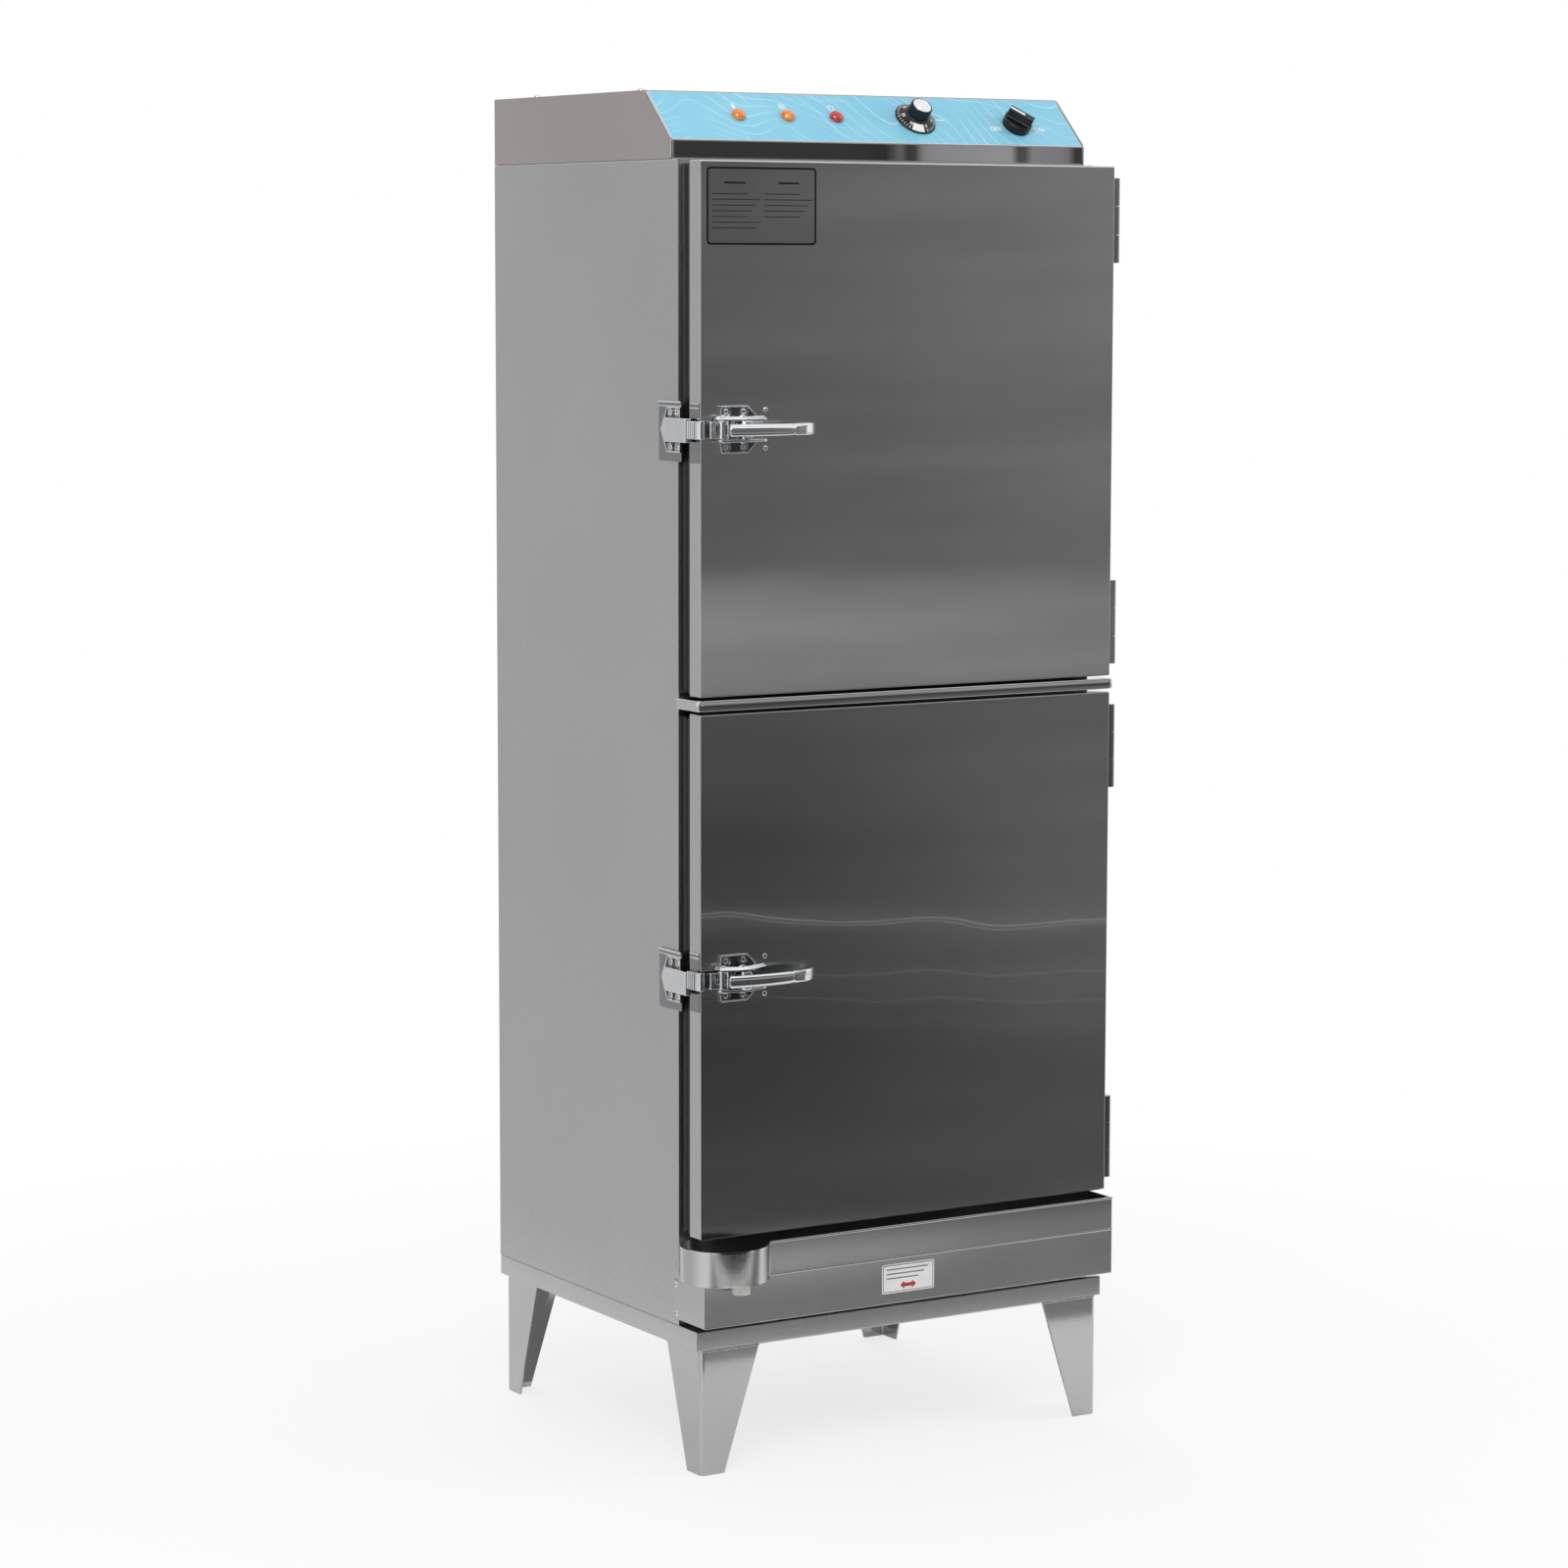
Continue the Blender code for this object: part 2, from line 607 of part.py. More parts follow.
def heating_element():
    """A hairpin of tube on a flange against the tank's rear wall."""
    middle = (ROOM_LEFT + ROOM_RIGHT) / 2
    level = LINER_BOTTOM + SHEET + HEATER_LIFT
    wall = ROOM_BACK - FIT - SHEET - FIT
    end = wall - HEATER_FLANGE / 2
    bend = arc((middle, HEATER_FRONT), HEATER_BEND, 180, 360, 12)
    path = [(middle - HEATER_BEND, end)] + bend + [(middle + HEATER_BEND, end)]
    tube = swept([(x, y, level) for x, y in path], circle((0, 0), HEATER_RADIUS, 10))
    reach = HEATER_BEND + 3 * HEATER_RADIUS
    flange = box((middle - reach, middle + reach), (wall - HEATER_FLANGE, wall),
                 (level - 2 * HEATER_RADIUS, level + 2 * HEATER_RADIUS))
    return join(flange, tube)


def build_chambers(root, steel, sheath):
    piece("chamber_liner", chamber_liner(), steel, root)
    piece("steam_baffle", slotted_plate(BAFFLE_LEVEL), steel, root)
    piece("chamber_divider", slotted_plate(DIVIDER_LEVEL), steel, root)
    piece("lower_shelf", shelf(LOWER_SHELF), steel, root)
    piece("upper_shelf", shelf(UPPER_SHELF), steel, root)
    piece("water_tank", water_tank(), steel, root)
    piece("heating_element", heating_element(), sheath, root)


# Gutter and kick panel

def gutter_outline(inset):
    """The trough with its round cup at the left end, drawn in by an inset."""
    radius = CUP_RADIUS - inset
    front = -GUTTER_FRONT + inset
    meets = math.degrees(math.asin((front - CUP_Y) / radius))
    cup = arc((CUP_X, CUP_Y), radius, 90, 360 + meets, 36)
    return cup + [(GUTTER_RIGHT - inset, front), (GUTTER_RIGHT - inset, CUP_Y + radius)]


def build_gutter(root, steel, plastic):
    trough = cut(prism("z", GUTTER_BOTTOM, GUTTER_TOP, gutter_outline(0)),
                 prism("z", GUTTER_BOTTOM + SHEET, GUTTER_TOP + SHEET, gutter_outline(SHEET)),
                 cylinder("z", GUTTER_BOTTOM - SHEET, GUTTER_TOP, (DRAIN_X, DRAIN_Y), DRAIN_NECK + FIT))
    piece("drip_gutter", trough, steel, root)
    collar = GUTTER_BOTTOM - FIT
    rim = GUTTER_BOTTOM + SHEET
    spout = turned((DRAIN_X, DRAIN_Y), [(DRAIN_RADIUS, collar - DRAIN_LENGTH), (DRAIN_RADIUS, collar),
                                        (DRAIN_NECK, collar), (DRAIN_NECK, rim)])
    bore = cylinder("z", collar - 2 * DRAIN_LENGTH, GUTTER_TOP, (DRAIN_X, DRAIN_Y), DRAIN_BORE)
    piece("drain_spout", cut(spout, bore), plastic, root)
    piece("kick_panel", kick_panel(), steel, root)


def kick_panel():
    """A cover folded round the front, with a top ledge for the gutter and side flanges."""
    proud = FIT + SHEET
    cover = box((-proud, WIDTH + proud), (-KICK_FRONT, KICK_OVERLAP), (KICK_BOTTOM, KICK_TOP))
    inside = box((-FIT, WIDTH + FIT), (-KICK_FRONT + SHEET, 2 * KICK_OVERLAP), (0, KICK_TOP - SHEET))
    behind = box((-2 * proud, WIDTH + 2 * proud), (-GUTTER_BACK, 2 * KICK_OVERLAP),
                 (KICK_TOP - KICK_FLANGE_DROP, 2 * KICK_TOP))
    return cut(cover, inside, behind)


# Doors

def door_skin(door):
    shell = box((0, DOOR_RIGHT), (DOOR_FRONT, DOOR_BACK), (door, door + DOOR_HEIGHT))
    edges = [e for e in shell.edges if min(v.co.y for v in e.verts) < DOOR_BACK - DOOR_THICK / 2]
    bmesh.ops.bevel(shell, geom=edges, offset=DOOR_EDGE, segments=3, profile=0.5, affect="EDGES",
                    clamp_overlap=True)
    hollow = box((SHEET, DOOR_RIGHT - SHEET), (DOOR_FRONT + SHEET, 0),
                 (door + SHEET, door + DOOR_HEIGHT - SHEET))
    return cut(shell, hollow)


def gasket(door):
    """A ring of double-bulb rubber between the door and the front frame."""
    seat, face = DOOR_BACK + FIT, -FIT
    middle = (seat + face) / 2
    soft = GASKET_GROOVE
    profile = [(soft, seat), (0, seat + soft), (0, middle - soft), (soft, middle), (0, middle + soft),
               (0, face - soft), (soft, face), (GASKET_WIDTH - soft, face), (GASKET_WIDTH, face - soft),
               (GASKET_WIDTH, middle + soft), (GASKET_WIDTH - soft, middle), (GASKET_WIDTH, middle - soft),
               (GASKET_WIDTH, seat)]
    rings = []
    for across, up in ((0, 0), (1, 0), (1, 1), (0, 1)):
        ring = []
        for depth, y in profile:
            inset = GASKET_INSET + depth
            x = DOOR_RIGHT - inset if across else inset
            z = door + DOOR_HEIGHT - inset if up else door + inset
            ring.append((x, y, z))
        rings.append(ring)
    return skin(rings, closed=True)


def build_door(name, door, root, finishes):
    axis = datum(f"{name}_door_axis", (HINGE_X, HINGE_Y, 0), root)
    pivot = (HINGE_X, HINGE_Y, 0)
    steel, polished = finishes["brushed_stainless"], finishes["polished_stainless"]
    inset = SHEET + FIT
    across = (inset, DOOR_RIGHT - inset)
    up = (door + inset, door + DOOR_HEIGHT - inset)
    piece(f"{name}_door_skin", door_skin(door), steel, axis, pivot)
    core = box(across, (DOOR_FRONT + inset, DOOR_BACK - inset), up)
    piece(f"{name}_door_core", core, finishes["mineral_wool"], axis, pivot)
    piece(f"{name}_door_liner", box(across, (DOOR_BACK - SHEET, DOOR_BACK), up), steel, axis, pivot)
    piece(f"{name}_door_gasket", gasket(door), finishes["black_rubber"], axis, pivot)
    heights = {"bottom": door + HINGE_MARGIN, "top": door + DOOR_HEIGHT - HINGE_MARGIN - HINGE_HEIGHT}
    for end, low in heights.items():
        piece(f"{name}_{end}_hinge_body_leaf", hinge_body_leaf(low), polished, root)
        piece(f"{name}_{end}_hinge_door_leaf", hinge_door_leaf(low), polished, axis, pivot)
    build_latch(name, door + DOOR_HEIGHT / 2 + LATCH_LIFT, root, axis, finishes["chrome"])


# Hinges

def knuckle_levels(low):
    third = HINGE_HEIGHT / 3
    return low + third, low + 2 * third


def hinge_body_leaf(low):
    """The leaf on the cabinet's side, with the outer knuckles and the pin."""
    high = low + HINGE_HEIGHT
    first, second = knuckle_levels(low)
    centre = (HINGE_X, HINGE_Y)
    clear = HINGE_Y + BARREL_RADIUS + FIT + KNUCKLE_GAP
    leaf = prism("x", WIDTH + FIT, WIDTH + FIT + HINGE_LEAF, [
        (HINGE_Y, low), (HINGE_REACH, low), (HINGE_REACH, high), (HINGE_Y, high),
        (HINGE_Y, second + KNUCKLE_GAP), (clear, second + KNUCKLE_GAP),
        (clear, first - KNUCKLE_GAP), (HINGE_Y, first - KNUCKLE_GAP)])
    return join(leaf, cylinder("z", low, first - KNUCKLE_GAP, centre, BARREL_RADIUS),
                cylinder("z", second + KNUCKLE_GAP, high, centre, BARREL_RADIUS),
                cylinder("z", low + KNUCKLE_GAP, high - KNUCKLE_GAP, centre, PIN_RADIUS))


def hinge_door_leaf(low):
    """The leaf on the door's edge, with the middle knuckle that turns on the pin."""
    first, second = knuckle_levels(low)
    centre = (HINGE_X, HINGE_Y)
    face = DOOR_RIGHT + FIT
    leaf = box((face, face + DOOR_LEAF), (DOOR_FRONT + DOOR_LEAF_MARGIN, DOOR_BACK - DOOR_LEAF_MARGIN),
               (low, low + HINGE_HEIGHT))
    bridge = box((face, HINGE_X - PIN_RADIUS), (HINGE_Y - PIN_RADIUS, HINGE_Y + PIN_RADIUS), (first, second))
    solid = join(leaf, bridge, cylinder("z", first, second, centre, BARREL_RADIUS))
    return cut(solid, cylinder("z", low, low + HINGE_HEIGHT, centre, PIN_RADIUS + FIT))


# Latches

def reach(distance):
    """The y of a point so far out from a door's front."""
    return DOOR_FRONT - distance


def latch_base(middle):
    """A plate on the door with two cheeks that hold the pins of the tongue and the handle."""
    ear = LATCH_PLATE_HEIGHT / 2
    waist = CHEEK_GAP / 2 + CHEEK
    slant = ear - waist
    upper = [(LATCH_RIGHT, waist), (LATCH_EAR_RIGHT + slant, waist), (LATCH_EAR_RIGHT, ear),
             (LATCH_EAR_LEFT, ear), (LATCH_LEFT, waist)]
    outline = [(x, middle + z) for x, z in upper] + [(x, middle - z) for x, z in reversed(upper)]
    solids = [prism("y", reach(FIT + LATCH_PLATE), reach(FIT), outline)]
    tip = reach(LATCH_REACH)
    root = reach(LATCH_PLATE / 2 + FIT)
    round_end = arc((TONGUE_PIN_X, reach(TONGUE_PIN_REACH)), TONGUE_HUB, 180, 250, 4)
    cheek = [(LATCH_RIGHT, root), (TONGUE_PIN_X - TONGUE_HUB, root)] + round_end
    cheek += [(HANDLE_PIN_X - HANDLE_HUB, tip), (HANDLE_PIN_X + HANDLE_HUB, tip)]
    cheek.append((LATCH_RIGHT, reach(LATCH_REACH / 2)))
    for low in (middle - waist, middle + CHEEK_GAP / 2):
        solids.append(prism("z", low, low + CHEEK, cheek))
    height = (middle - waist + CHEEK / 2, middle + waist - CHEEK / 2)
    for x, distance in ((TONGUE_PIN_X, TONGUE_PIN_REACH), (HANDLE_PIN_X, HANDLE_PIN_REACH)):
        solids.append(cylinder("z", *height, (x, reach(distance)), LATCH_PIN, 16))
    return join(*solids)


def handle_path(middle, steps=14):
    """The bowed middle line of the lever, as a cubic curve from its heel to its tip."""
    heel = Vector((HANDLE_HEEL_X, HANDLE_HEEL_REACH))
    tip = Vector((HANDLE_TIP_X, HANDLE_TIP_REACH))
    third = (HANDLE_TIP_X - HANDLE_HEEL_X) / 3
    first = Vector((HANDLE_HEEL_X + third, HANDLE_BOW))
    second = Vector((HANDLE_TIP_X - third / 2, HANDLE_BOW))
    points = []
    for n in range(steps + 1):
        t = n / steps
        rest = 1 - t
        place = heel * rest ** 3 + first * 3 * t * rest ** 2 + second * 3 * t ** 2 * rest + tip * t ** 3
        points.append((place.x, reach(place.y), middle))
    return points


def latch_handle(middle):
    """The bowed lever on its hub, with a bore for its pin."""
    across, up = HANDLE_THICK / 2, HANDLE_HEEL_HEIGHT / 2
    soft = HANDLE_THICK / 4
    section = rounded_rectangle(-across, across, -up, up, soft, 2)
    lever = swept(handle_path(middle), section, HANDLE_TIP_HEIGHT / HANDLE_HEEL_HEIGHT)
    centre = (HANDLE_PIN_X, reach(HANDLE_PIN_REACH))
    hub = cylinder("z", middle - TONGUE_HEIGHT / 2, middle + TONGUE_HEIGHT / 2, centre, HANDLE_HUB)
    neck = box((HANDLE_PIN_X - HANDLE_HUB + FIT, HANDLE_PIN_X + HANDLE_HUB - FIT),
               (reach(HANDLE_HEEL_REACH), reach(HANDLE_PIN_REACH)), (middle - up + soft, middle + up - soft))
    bore = cylinder("z", middle - TONGUE_HEIGHT, middle + TONGUE_HEIGHT, centre, LATCH_PIN + FIT, 16)
    return cut(join(lever, neck, hub), bore)


def latch_tongue(middle):
    """The hook that reaches round the door's edge to the strike, with a bore for its pin."""
    low, high = middle - TONGUE_HEIGHT / 2, middle + TONGUE_HEIGHT / 2
    centre = (TONGUE_PIN_X, reach(TONGUE_PIN_REACH))
    back = reach(TONGUE_PIN_REACH - TONGUE_THICK / 2)
    front = reach(TONGUE_PIN_REACH + TONGUE_THICK / 2)
    nose = -BLOCK_NOSE - FIT
    inner, outer = -TONGUE_CLEAR, -TONGUE_CLEAR - TONGUE_THICK
    bend = TONGUE_THICK
    hook = [(TONGUE_PIN_X, back), (inner, back), (inner, nose), (outer, nose)]
    hook += arc((outer + bend, front + bend), bend, 180, 270, 5)
    hook.append((TONGUE_PIN_X, front))
    solid = join(prism("z", low, high, hook), cylinder("z", low, high, centre, TONGUE_HUB))
    return cut(solid, cylinder("z", low - TONGUE_THICK, high + TONGUE_THICK, centre, LATCH_PIN + FIT, 16))


def latch_strike(middle):
    """The backing plate, pointed keeper and raised block on the cabinet's left side."""
    tall, ear, waist = STRIKE_HEIGHT / 2, KEEPER_HEIGHT / 2, CHEEK_GAP / 2 + CHEEK
    plate = rounded_rectangle(-STRIKE_FRONT, STRIKE_BACK, middle - tall, middle + tall, STRIKE_CORNER)
    backing = prism("x", -FIT - STRIKE_PLATE, -FIT, plate)
    raised = -FIT - 2 * STRIKE_PLATE
    lap = STRIKE_PLATE / 2
    front = -STRIKE_FRONT + lap
    keeper = prism("x", raised, -FIT - lap, [
        (front, middle - ear), (KEEPER_EAR, middle - ear), (KEEPER_POINT, middle),
        (KEEPER_EAR, middle + ear), (front, middle + ear)])
    proud = raised - BLOCK_PROUD
    chamfer = BLOCK_PROUD / 2
    block = prism("z", middle - waist, middle + waist, [
        (raised + lap, -BLOCK_NOSE), (raised + lap, BLOCK_BACK), (raised, BLOCK_BACK),
        (proud, BLOCK_BACK - chamfer), (proud, -BLOCK_NOSE + chamfer), (proud + chamfer, -BLOCK_NOSE)])
    return join(backing, keeper, block)


def build_latch(name, middle, root, axis, chrome):
    tongue_pin = (TONGUE_PIN_X, reach(TONGUE_PIN_REACH), middle)
    handle_pin = (HANDLE_PIN_X, reach(HANDLE_PIN_REACH), middle)
    piece(f"{name}_latch_base", latch_base(middle), chrome, axis, (HINGE_X, HINGE_Y, 0))
    piece(f"{name}_latch_handle", latch_handle(middle), chrome, axis, handle_pin)
    piece(f"{name}_latch_tongue", latch_tongue(middle), chrome, axis, tongue_pin)
    piece(f"{name}_latch_strike", latch_strike(middle), chrome, root)


# Head and controls

def head_cover():
    """Top, sides and back in one folded sheet, open below and where the panel fits."""
    shell = prism("x", 0, WIDTH, [
        (HEAD_SETBACK, HEAD_BOTTOM), (DEPTH, HEAD_BOTTOM), (DEPTH, HEAD_TOP),
        (HEAD_SETBACK + SLOPE_RUN, HEAD_TOP), (HEAD_SETBACK, LIP_TOP)])
    inside = box((SHEET, WIDTH - SHEET), (-DEPTH, DEPTH - SHEET), (0, HEAD_TOP - SHEET))
    hole = box((INLET_X - INLET_BODY_WIDTH / 2 - FIT, INLET_X + INLET_BODY_WIDTH / 2 + FIT),
               (DEPTH - 2 * SHEET, DEPTH + SHEET),
               (INLET_Z - INLET_BODY_HEIGHT / 2 - FIT, INLET_Z + INLET_BODY_HEIGHT / 2 + FIT))
    return cut(shell, inside, hole)


def control_places():
    """Each control's x and row on the slope, with the radius of what passes through the panel."""
    places = [(x, CONTROL_ROW, LAMP_BARREL) for x in LAMPS_X]
    places.append((TIMER_X, CONTROL_ROW, BUSH_RADIUS))
    places.append((SWITCH_X, SWITCH_ROW, BUSH_RADIUS))
    return places


def control_panel():
    """The sheet of the lip and the slope in the panel's frame, with a return along its bottom."""
    def from_cabinet(y, z):
        across, up = y - HEAD_SETBACK, z - LIP_TOP
        along = across * math.cos(SLOPE) + up * math.sin(SLOPE)
        return along, up * math.cos(SLOPE) - across * math.sin(SLOPE)

    bend = (90 - math.degrees(SLOPE)) / 2
    inside_bend = (PANEL_SHEET * math.tan(math.radians(bend)), -PANEL_SHEET)
    back = HEAD_SETBACK + PANEL_RETURN
    outline = [(0, 0), (PANEL_LENGTH, 0), (PANEL_LENGTH, -PANEL_SHEET), inside_bend,
               from_cabinet(HEAD_SETBACK + PANEL_SHEET, HEAD_BOTTOM + PANEL_SHEET),
               from_cabinet(back, HEAD_BOTTOM + PANEL_SHEET), from_cabinet(back, HEAD_BOTTOM),
               from_cabinet(HEAD_SETBACK, HEAD_BOTTOM)]
    sheet = prism("x", CASE_LEFT, CASE_RIGHT, outline)
    holes = []
    for x, row, radius in control_places():
        holes.append(cylinder("z", -2 * PANEL_SHEET, PANEL_SHEET, (x, row), radius + FIT))
    return cut(sheet, *holes)


def panel_overlay():
    outline = rectangle(OVERLAY_MARGIN, WIDTH - OVERLAY_MARGIN, OVERLAY, PANEL_LENGTH - OVERLAY)
    holes = [circle((x, row), radius + FIT) for x, row, radius in control_places()]
    return prism("z", FIT, OVERLAY_TOP, outline, holes)


def pilot_lamp(x):
    """A domed lens on a barrel that passes through the panel."""
    seat = OVERLAY_TOP + FIT
    profile = [(LAMP_BARREL, -LAMP_LENGTH), (LAMP_BARREL, seat), (LAMP_RADIUS, seat)]
    for n in range(LAMP_RINGS):
        angle = math.radians(90 * n / LAMP_RINGS)
        rise = LAMP_RIM + (LAMP_DOME - LAMP_RIM) * math.sin(angle)
        profile.append((LAMP_RADIUS * math.cos(angle), seat + rise))
    return turned((x, CONTROL_ROW), profile)


def control_body(x, row, size, shaft_top):
    """The works behind the panel, with a bush through it and a shaft that carries the knob."""
    low = -PANEL_SHEET - FIT - CONTROL_BODY_DEPTH
    works = box((x - size / 2, x + size / 2), (row - size / 2, row + size / 2), (low, -PANEL_SHEET - FIT))
    bush = cylinder("z", low / 2, OVERLAY_TOP, (x, row), BUSH_RADIUS)
    shaft = cylinder("z", low / 2, shaft_top, (x, row), SHAFT_RADIUS)
    return join(works, bush, shaft)


def timer_knob():
    """A graduated skirt under a round grip, bored for the shaft."""
    seat = OVERLAY_TOP + FIT
    skirt_top = seat + SKIRT_HEIGHT
    profile = [(SKIRT_RADIUS, seat), (SKIRT_RADIUS, seat + SKIRT_EDGE), (GRIP_RADIUS + SKIRT_EDGE, skirt_top),
               (GRIP_RADIUS, skirt_top), (GRIP_RADIUS, skirt_top + GRIP_HEIGHT - SKIRT_EDGE),
               (GRIP_RADIUS - SKIRT_EDGE, skirt_top + GRIP_HEIGHT)]
    bore = cylinder("z", -SKIRT_HEIGHT, skirt_top + FIT, (TIMER_X, CONTROL_ROW), SHAFT_RADIUS + FIT)
    return cut(turned((TIMER_X, CONTROL_ROW), profile, 40), bore)


def switch_knob():
    """A round base with a bar grip across it, bored for the shaft."""
    seat = OVERLAY_TOP + FIT
    top = seat + SWITCH_BASE
    disc = turned((SWITCH_X, SWITCH_ROW), [(SWITCH_RADIUS, seat), (SWITCH_RADIUS, top - SKIRT_EDGE),
                                           (SWITCH_RADIUS - SKIRT_EDGE, top)], 32)
    half = SWITCH_RADIUS - SKIRT_EDGE
    bar = box((-half, half), (-SWITCH_BAR_WIDTH / 2, SWITCH_BAR_WIDTH / 2),
              (seat + SWITCH_BASE / 2, top + SWITCH_BAR_HEIGHT))
    bar.transform(Matrix.Translation((SWITCH_X, SWITCH_ROW, 0)) @ Matrix.Rotation(SWITCH_ANGLE, 4, "Z"))
    bore = cylinder("z", -SWITCH_BASE, top + FIT, (SWITCH_X, SWITCH_ROW), SHAFT_RADIUS + FIT)
    return cut(join(disc, bar), bore)


def power_inlet():
    """A flanged socket body in the back of the head, open to the outside."""
    outside = DEPTH + FIT
    flange = box((INLET_X - INLET_WIDTH / 2, INLET_X + INLET_WIDTH / 2), (outside, outside + INLET_FLANGE),
                 (INLET_Z - INLET_HEIGHT / 2, INLET_Z + INLET_HEIGHT / 2))
    half_width, half_height = INLET_BODY_WIDTH / 2, INLET_BODY_HEIGHT / 2
    body = box((INLET_X - half_width, INLET_X + half_width),
               (outside - INLET_DEPTH, outside + INLET_FLANGE / 2),
               (INLET_Z - half_height, INLET_Z + half_height))
    socket = box((INLET_X - half_width + INLET_WALL, INLET_X + half_width - INLET_WALL),
                 (outside - INLET_DEPTH + INLET_WALL, outside + 2 * INLET_FLANGE),
                 (INLET_Z - half_height + INLET_WALL, INLET_Z + half_height - INLET_WALL))
    return cut(join(flange, body), socket)


def build_head(root, finishes):
    steel, black = finishes["brushed_stainless"], finishes["black_plastic"]
    piece("head_cover", head_cover(), steel, root)
    piece("power_inlet", power_inlet(), black, root)
    slope = datum("panel_datum", (0, HEAD_SETBACK, LIP_TOP), root, SLOPE)
    piece("control_panel", control_panel(), finishes["polished_stainless"], slope)
    piece("panel_overlay", panel_overlay(), finishes["blue_overlay"], slope)
    lamps = zip(("water", "heating", "power"), LAMPS_X, ("amber_lens", "amber_lens", "red_lens"))
    for name, x, lens in lamps:
        piece(f"pilot_lamp_{name}", pilot_lamp(x), finishes[lens], slope, (x, CONTROL_ROW, 0))
    shaft_top = OVERLAY_TOP + FIT + SKIRT_HEIGHT
    timer = control_body(TIMER_X, CONTROL_ROW, TIMER_BODY, shaft_top)
    piece("timer_body", timer, black, slope, (TIMER_X, CONTROL_ROW, 0))
    piece("timer_knob", timer_knob(), black, slope, (TIMER_X, CONTROL_ROW, 0))
    shaft_top = OVERLAY_TOP + FIT + SWITCH_BASE
    switch = control_body(SWITCH_X, SWITCH_ROW, SWITCH_BODY, shaft_top)
    piece("switch_body", switch, black, slope, (SWITCH_X, SWITCH_ROW, 0))
    piece("switch_knob", switch_knob(), black, slope, (SWITCH_X, SWITCH_ROW, 0))


def main():
    clear_scene()
    finishes = make_finishes()
    steel = finishes["brushed_stainless"]
    root = datum("towel_steamer", (-(BOX_LEFT + BOX_RIGHT) / 2, -(BOX_FRONT + BOX_BACK) / 2, 0))
    build_base(root, steel)
    build_casing(root, steel, finishes["polished_stainless"], finishes["mineral_wool"])
    build_chambers(root, steel, finishes["heater_sheath"])
    build_gutter(root, steel, finishes["pale_plastic"])
    build_door("lower", LOWER_DOOR, root, finishes)
    build_door("upper", UPPER_DOOR, root, finishes)
    build_head(root, finishes)


main()
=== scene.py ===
"""Looks of the two-door towel steamer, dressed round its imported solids.

Lengths are written in millimetres in the cabinet's own frame: x runs right from the left side panel,
y runs back from the front of the body and z runs up from the floor. What lies on the sloping panel is
written in the panel's frame: x as before, y up the slope and z straight out of it.
"""

import json
from math import atan2, cos, pi, radians, sin

import bmesh
import bpy
from mathutils import Matrix, Vector


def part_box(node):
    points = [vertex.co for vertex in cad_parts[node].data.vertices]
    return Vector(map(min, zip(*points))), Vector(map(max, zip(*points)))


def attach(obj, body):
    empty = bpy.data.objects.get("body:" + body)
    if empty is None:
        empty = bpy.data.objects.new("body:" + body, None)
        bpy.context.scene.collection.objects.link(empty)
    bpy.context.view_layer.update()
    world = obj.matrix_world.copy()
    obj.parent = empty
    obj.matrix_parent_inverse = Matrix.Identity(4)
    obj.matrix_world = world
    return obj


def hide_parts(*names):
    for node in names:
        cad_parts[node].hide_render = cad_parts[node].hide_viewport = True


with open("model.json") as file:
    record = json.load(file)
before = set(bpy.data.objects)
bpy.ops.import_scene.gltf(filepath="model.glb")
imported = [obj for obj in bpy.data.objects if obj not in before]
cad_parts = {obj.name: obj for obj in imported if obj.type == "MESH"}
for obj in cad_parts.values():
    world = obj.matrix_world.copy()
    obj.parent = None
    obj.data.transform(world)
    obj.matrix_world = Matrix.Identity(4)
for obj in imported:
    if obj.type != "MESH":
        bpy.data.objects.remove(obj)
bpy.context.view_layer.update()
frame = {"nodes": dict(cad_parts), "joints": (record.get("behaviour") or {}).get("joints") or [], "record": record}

MM = 0.001
JOINTS = {joint["name"]: joint for joint in frame["joints"]}
BODY_OF = {node: body for body, nodes in frame["record"]["behaviour"]["bodies"].items() for node in nodes}
SLOT_OF = {name: node.material_slots[0].material.name for name, node in frame["nodes"].items()}

# Frames: the world, the cabinet, a face seen from the front, the left side seen from the left
WORLD = Matrix()
CORNER = Vector((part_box("left_side_panel")[0].x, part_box("left_side_panel")[0].y, 0))
CABINET = Matrix.Translation(CORNER) @ Matrix.Scale(MM, 4)
FRONT = CABINET @ Matrix(((1, 0, 0, 0), (0, 0, -1, 0), (0, 1, 0, 0), (0, 0, 0, 1)))
LEFT = CABINET @ Matrix(((0, 0, -1, 0), (-1, 0, 0, 0), (0, 1, 0, 0), (0, 0, 0, 1)))


def box_of(node):
    """The low and the high corner of a node, in the cabinet's millimetres."""
    return [(corner - CORNER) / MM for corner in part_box(node)]


# Sizes of the cabinet, and how far the doors, the kick panel and the film on the slope stand out
WIDTH, DEPTH, _ = box_of("right_side_panel")[1]
TOP = box_of("head_cover")[1].z
DOOR_FACE = -box_of("upper_door_skin")[0].y
KICK_FACE = -box_of("kick_panel")[0].y
OVERLAY_FACE = 0.8
HINGE_LEAF = 2.5
PILOTS = {name: sum(corner.x for corner in box_of(f"pilot_lamp_{name}")) / 2
          for name in ("water", "heating", "power")}

# The gutter's face, the rolls along its rims, and its round cup
GUTTER_LOW, GUTTER_HIGH = box_of("drip_gutter")
GUTTER_FACE, GUTTER_FOOT, GUTTER_RIM = -63.3, GUTTER_LOW.z + 1.2, GUTTER_HIGH.z - 0.5
CUP_RADIUS = 46
CUP_CENTRE = (GUTTER_LOW.x + CUP_RADIUS, GUTTER_LOW.y + CUP_RADIUS)
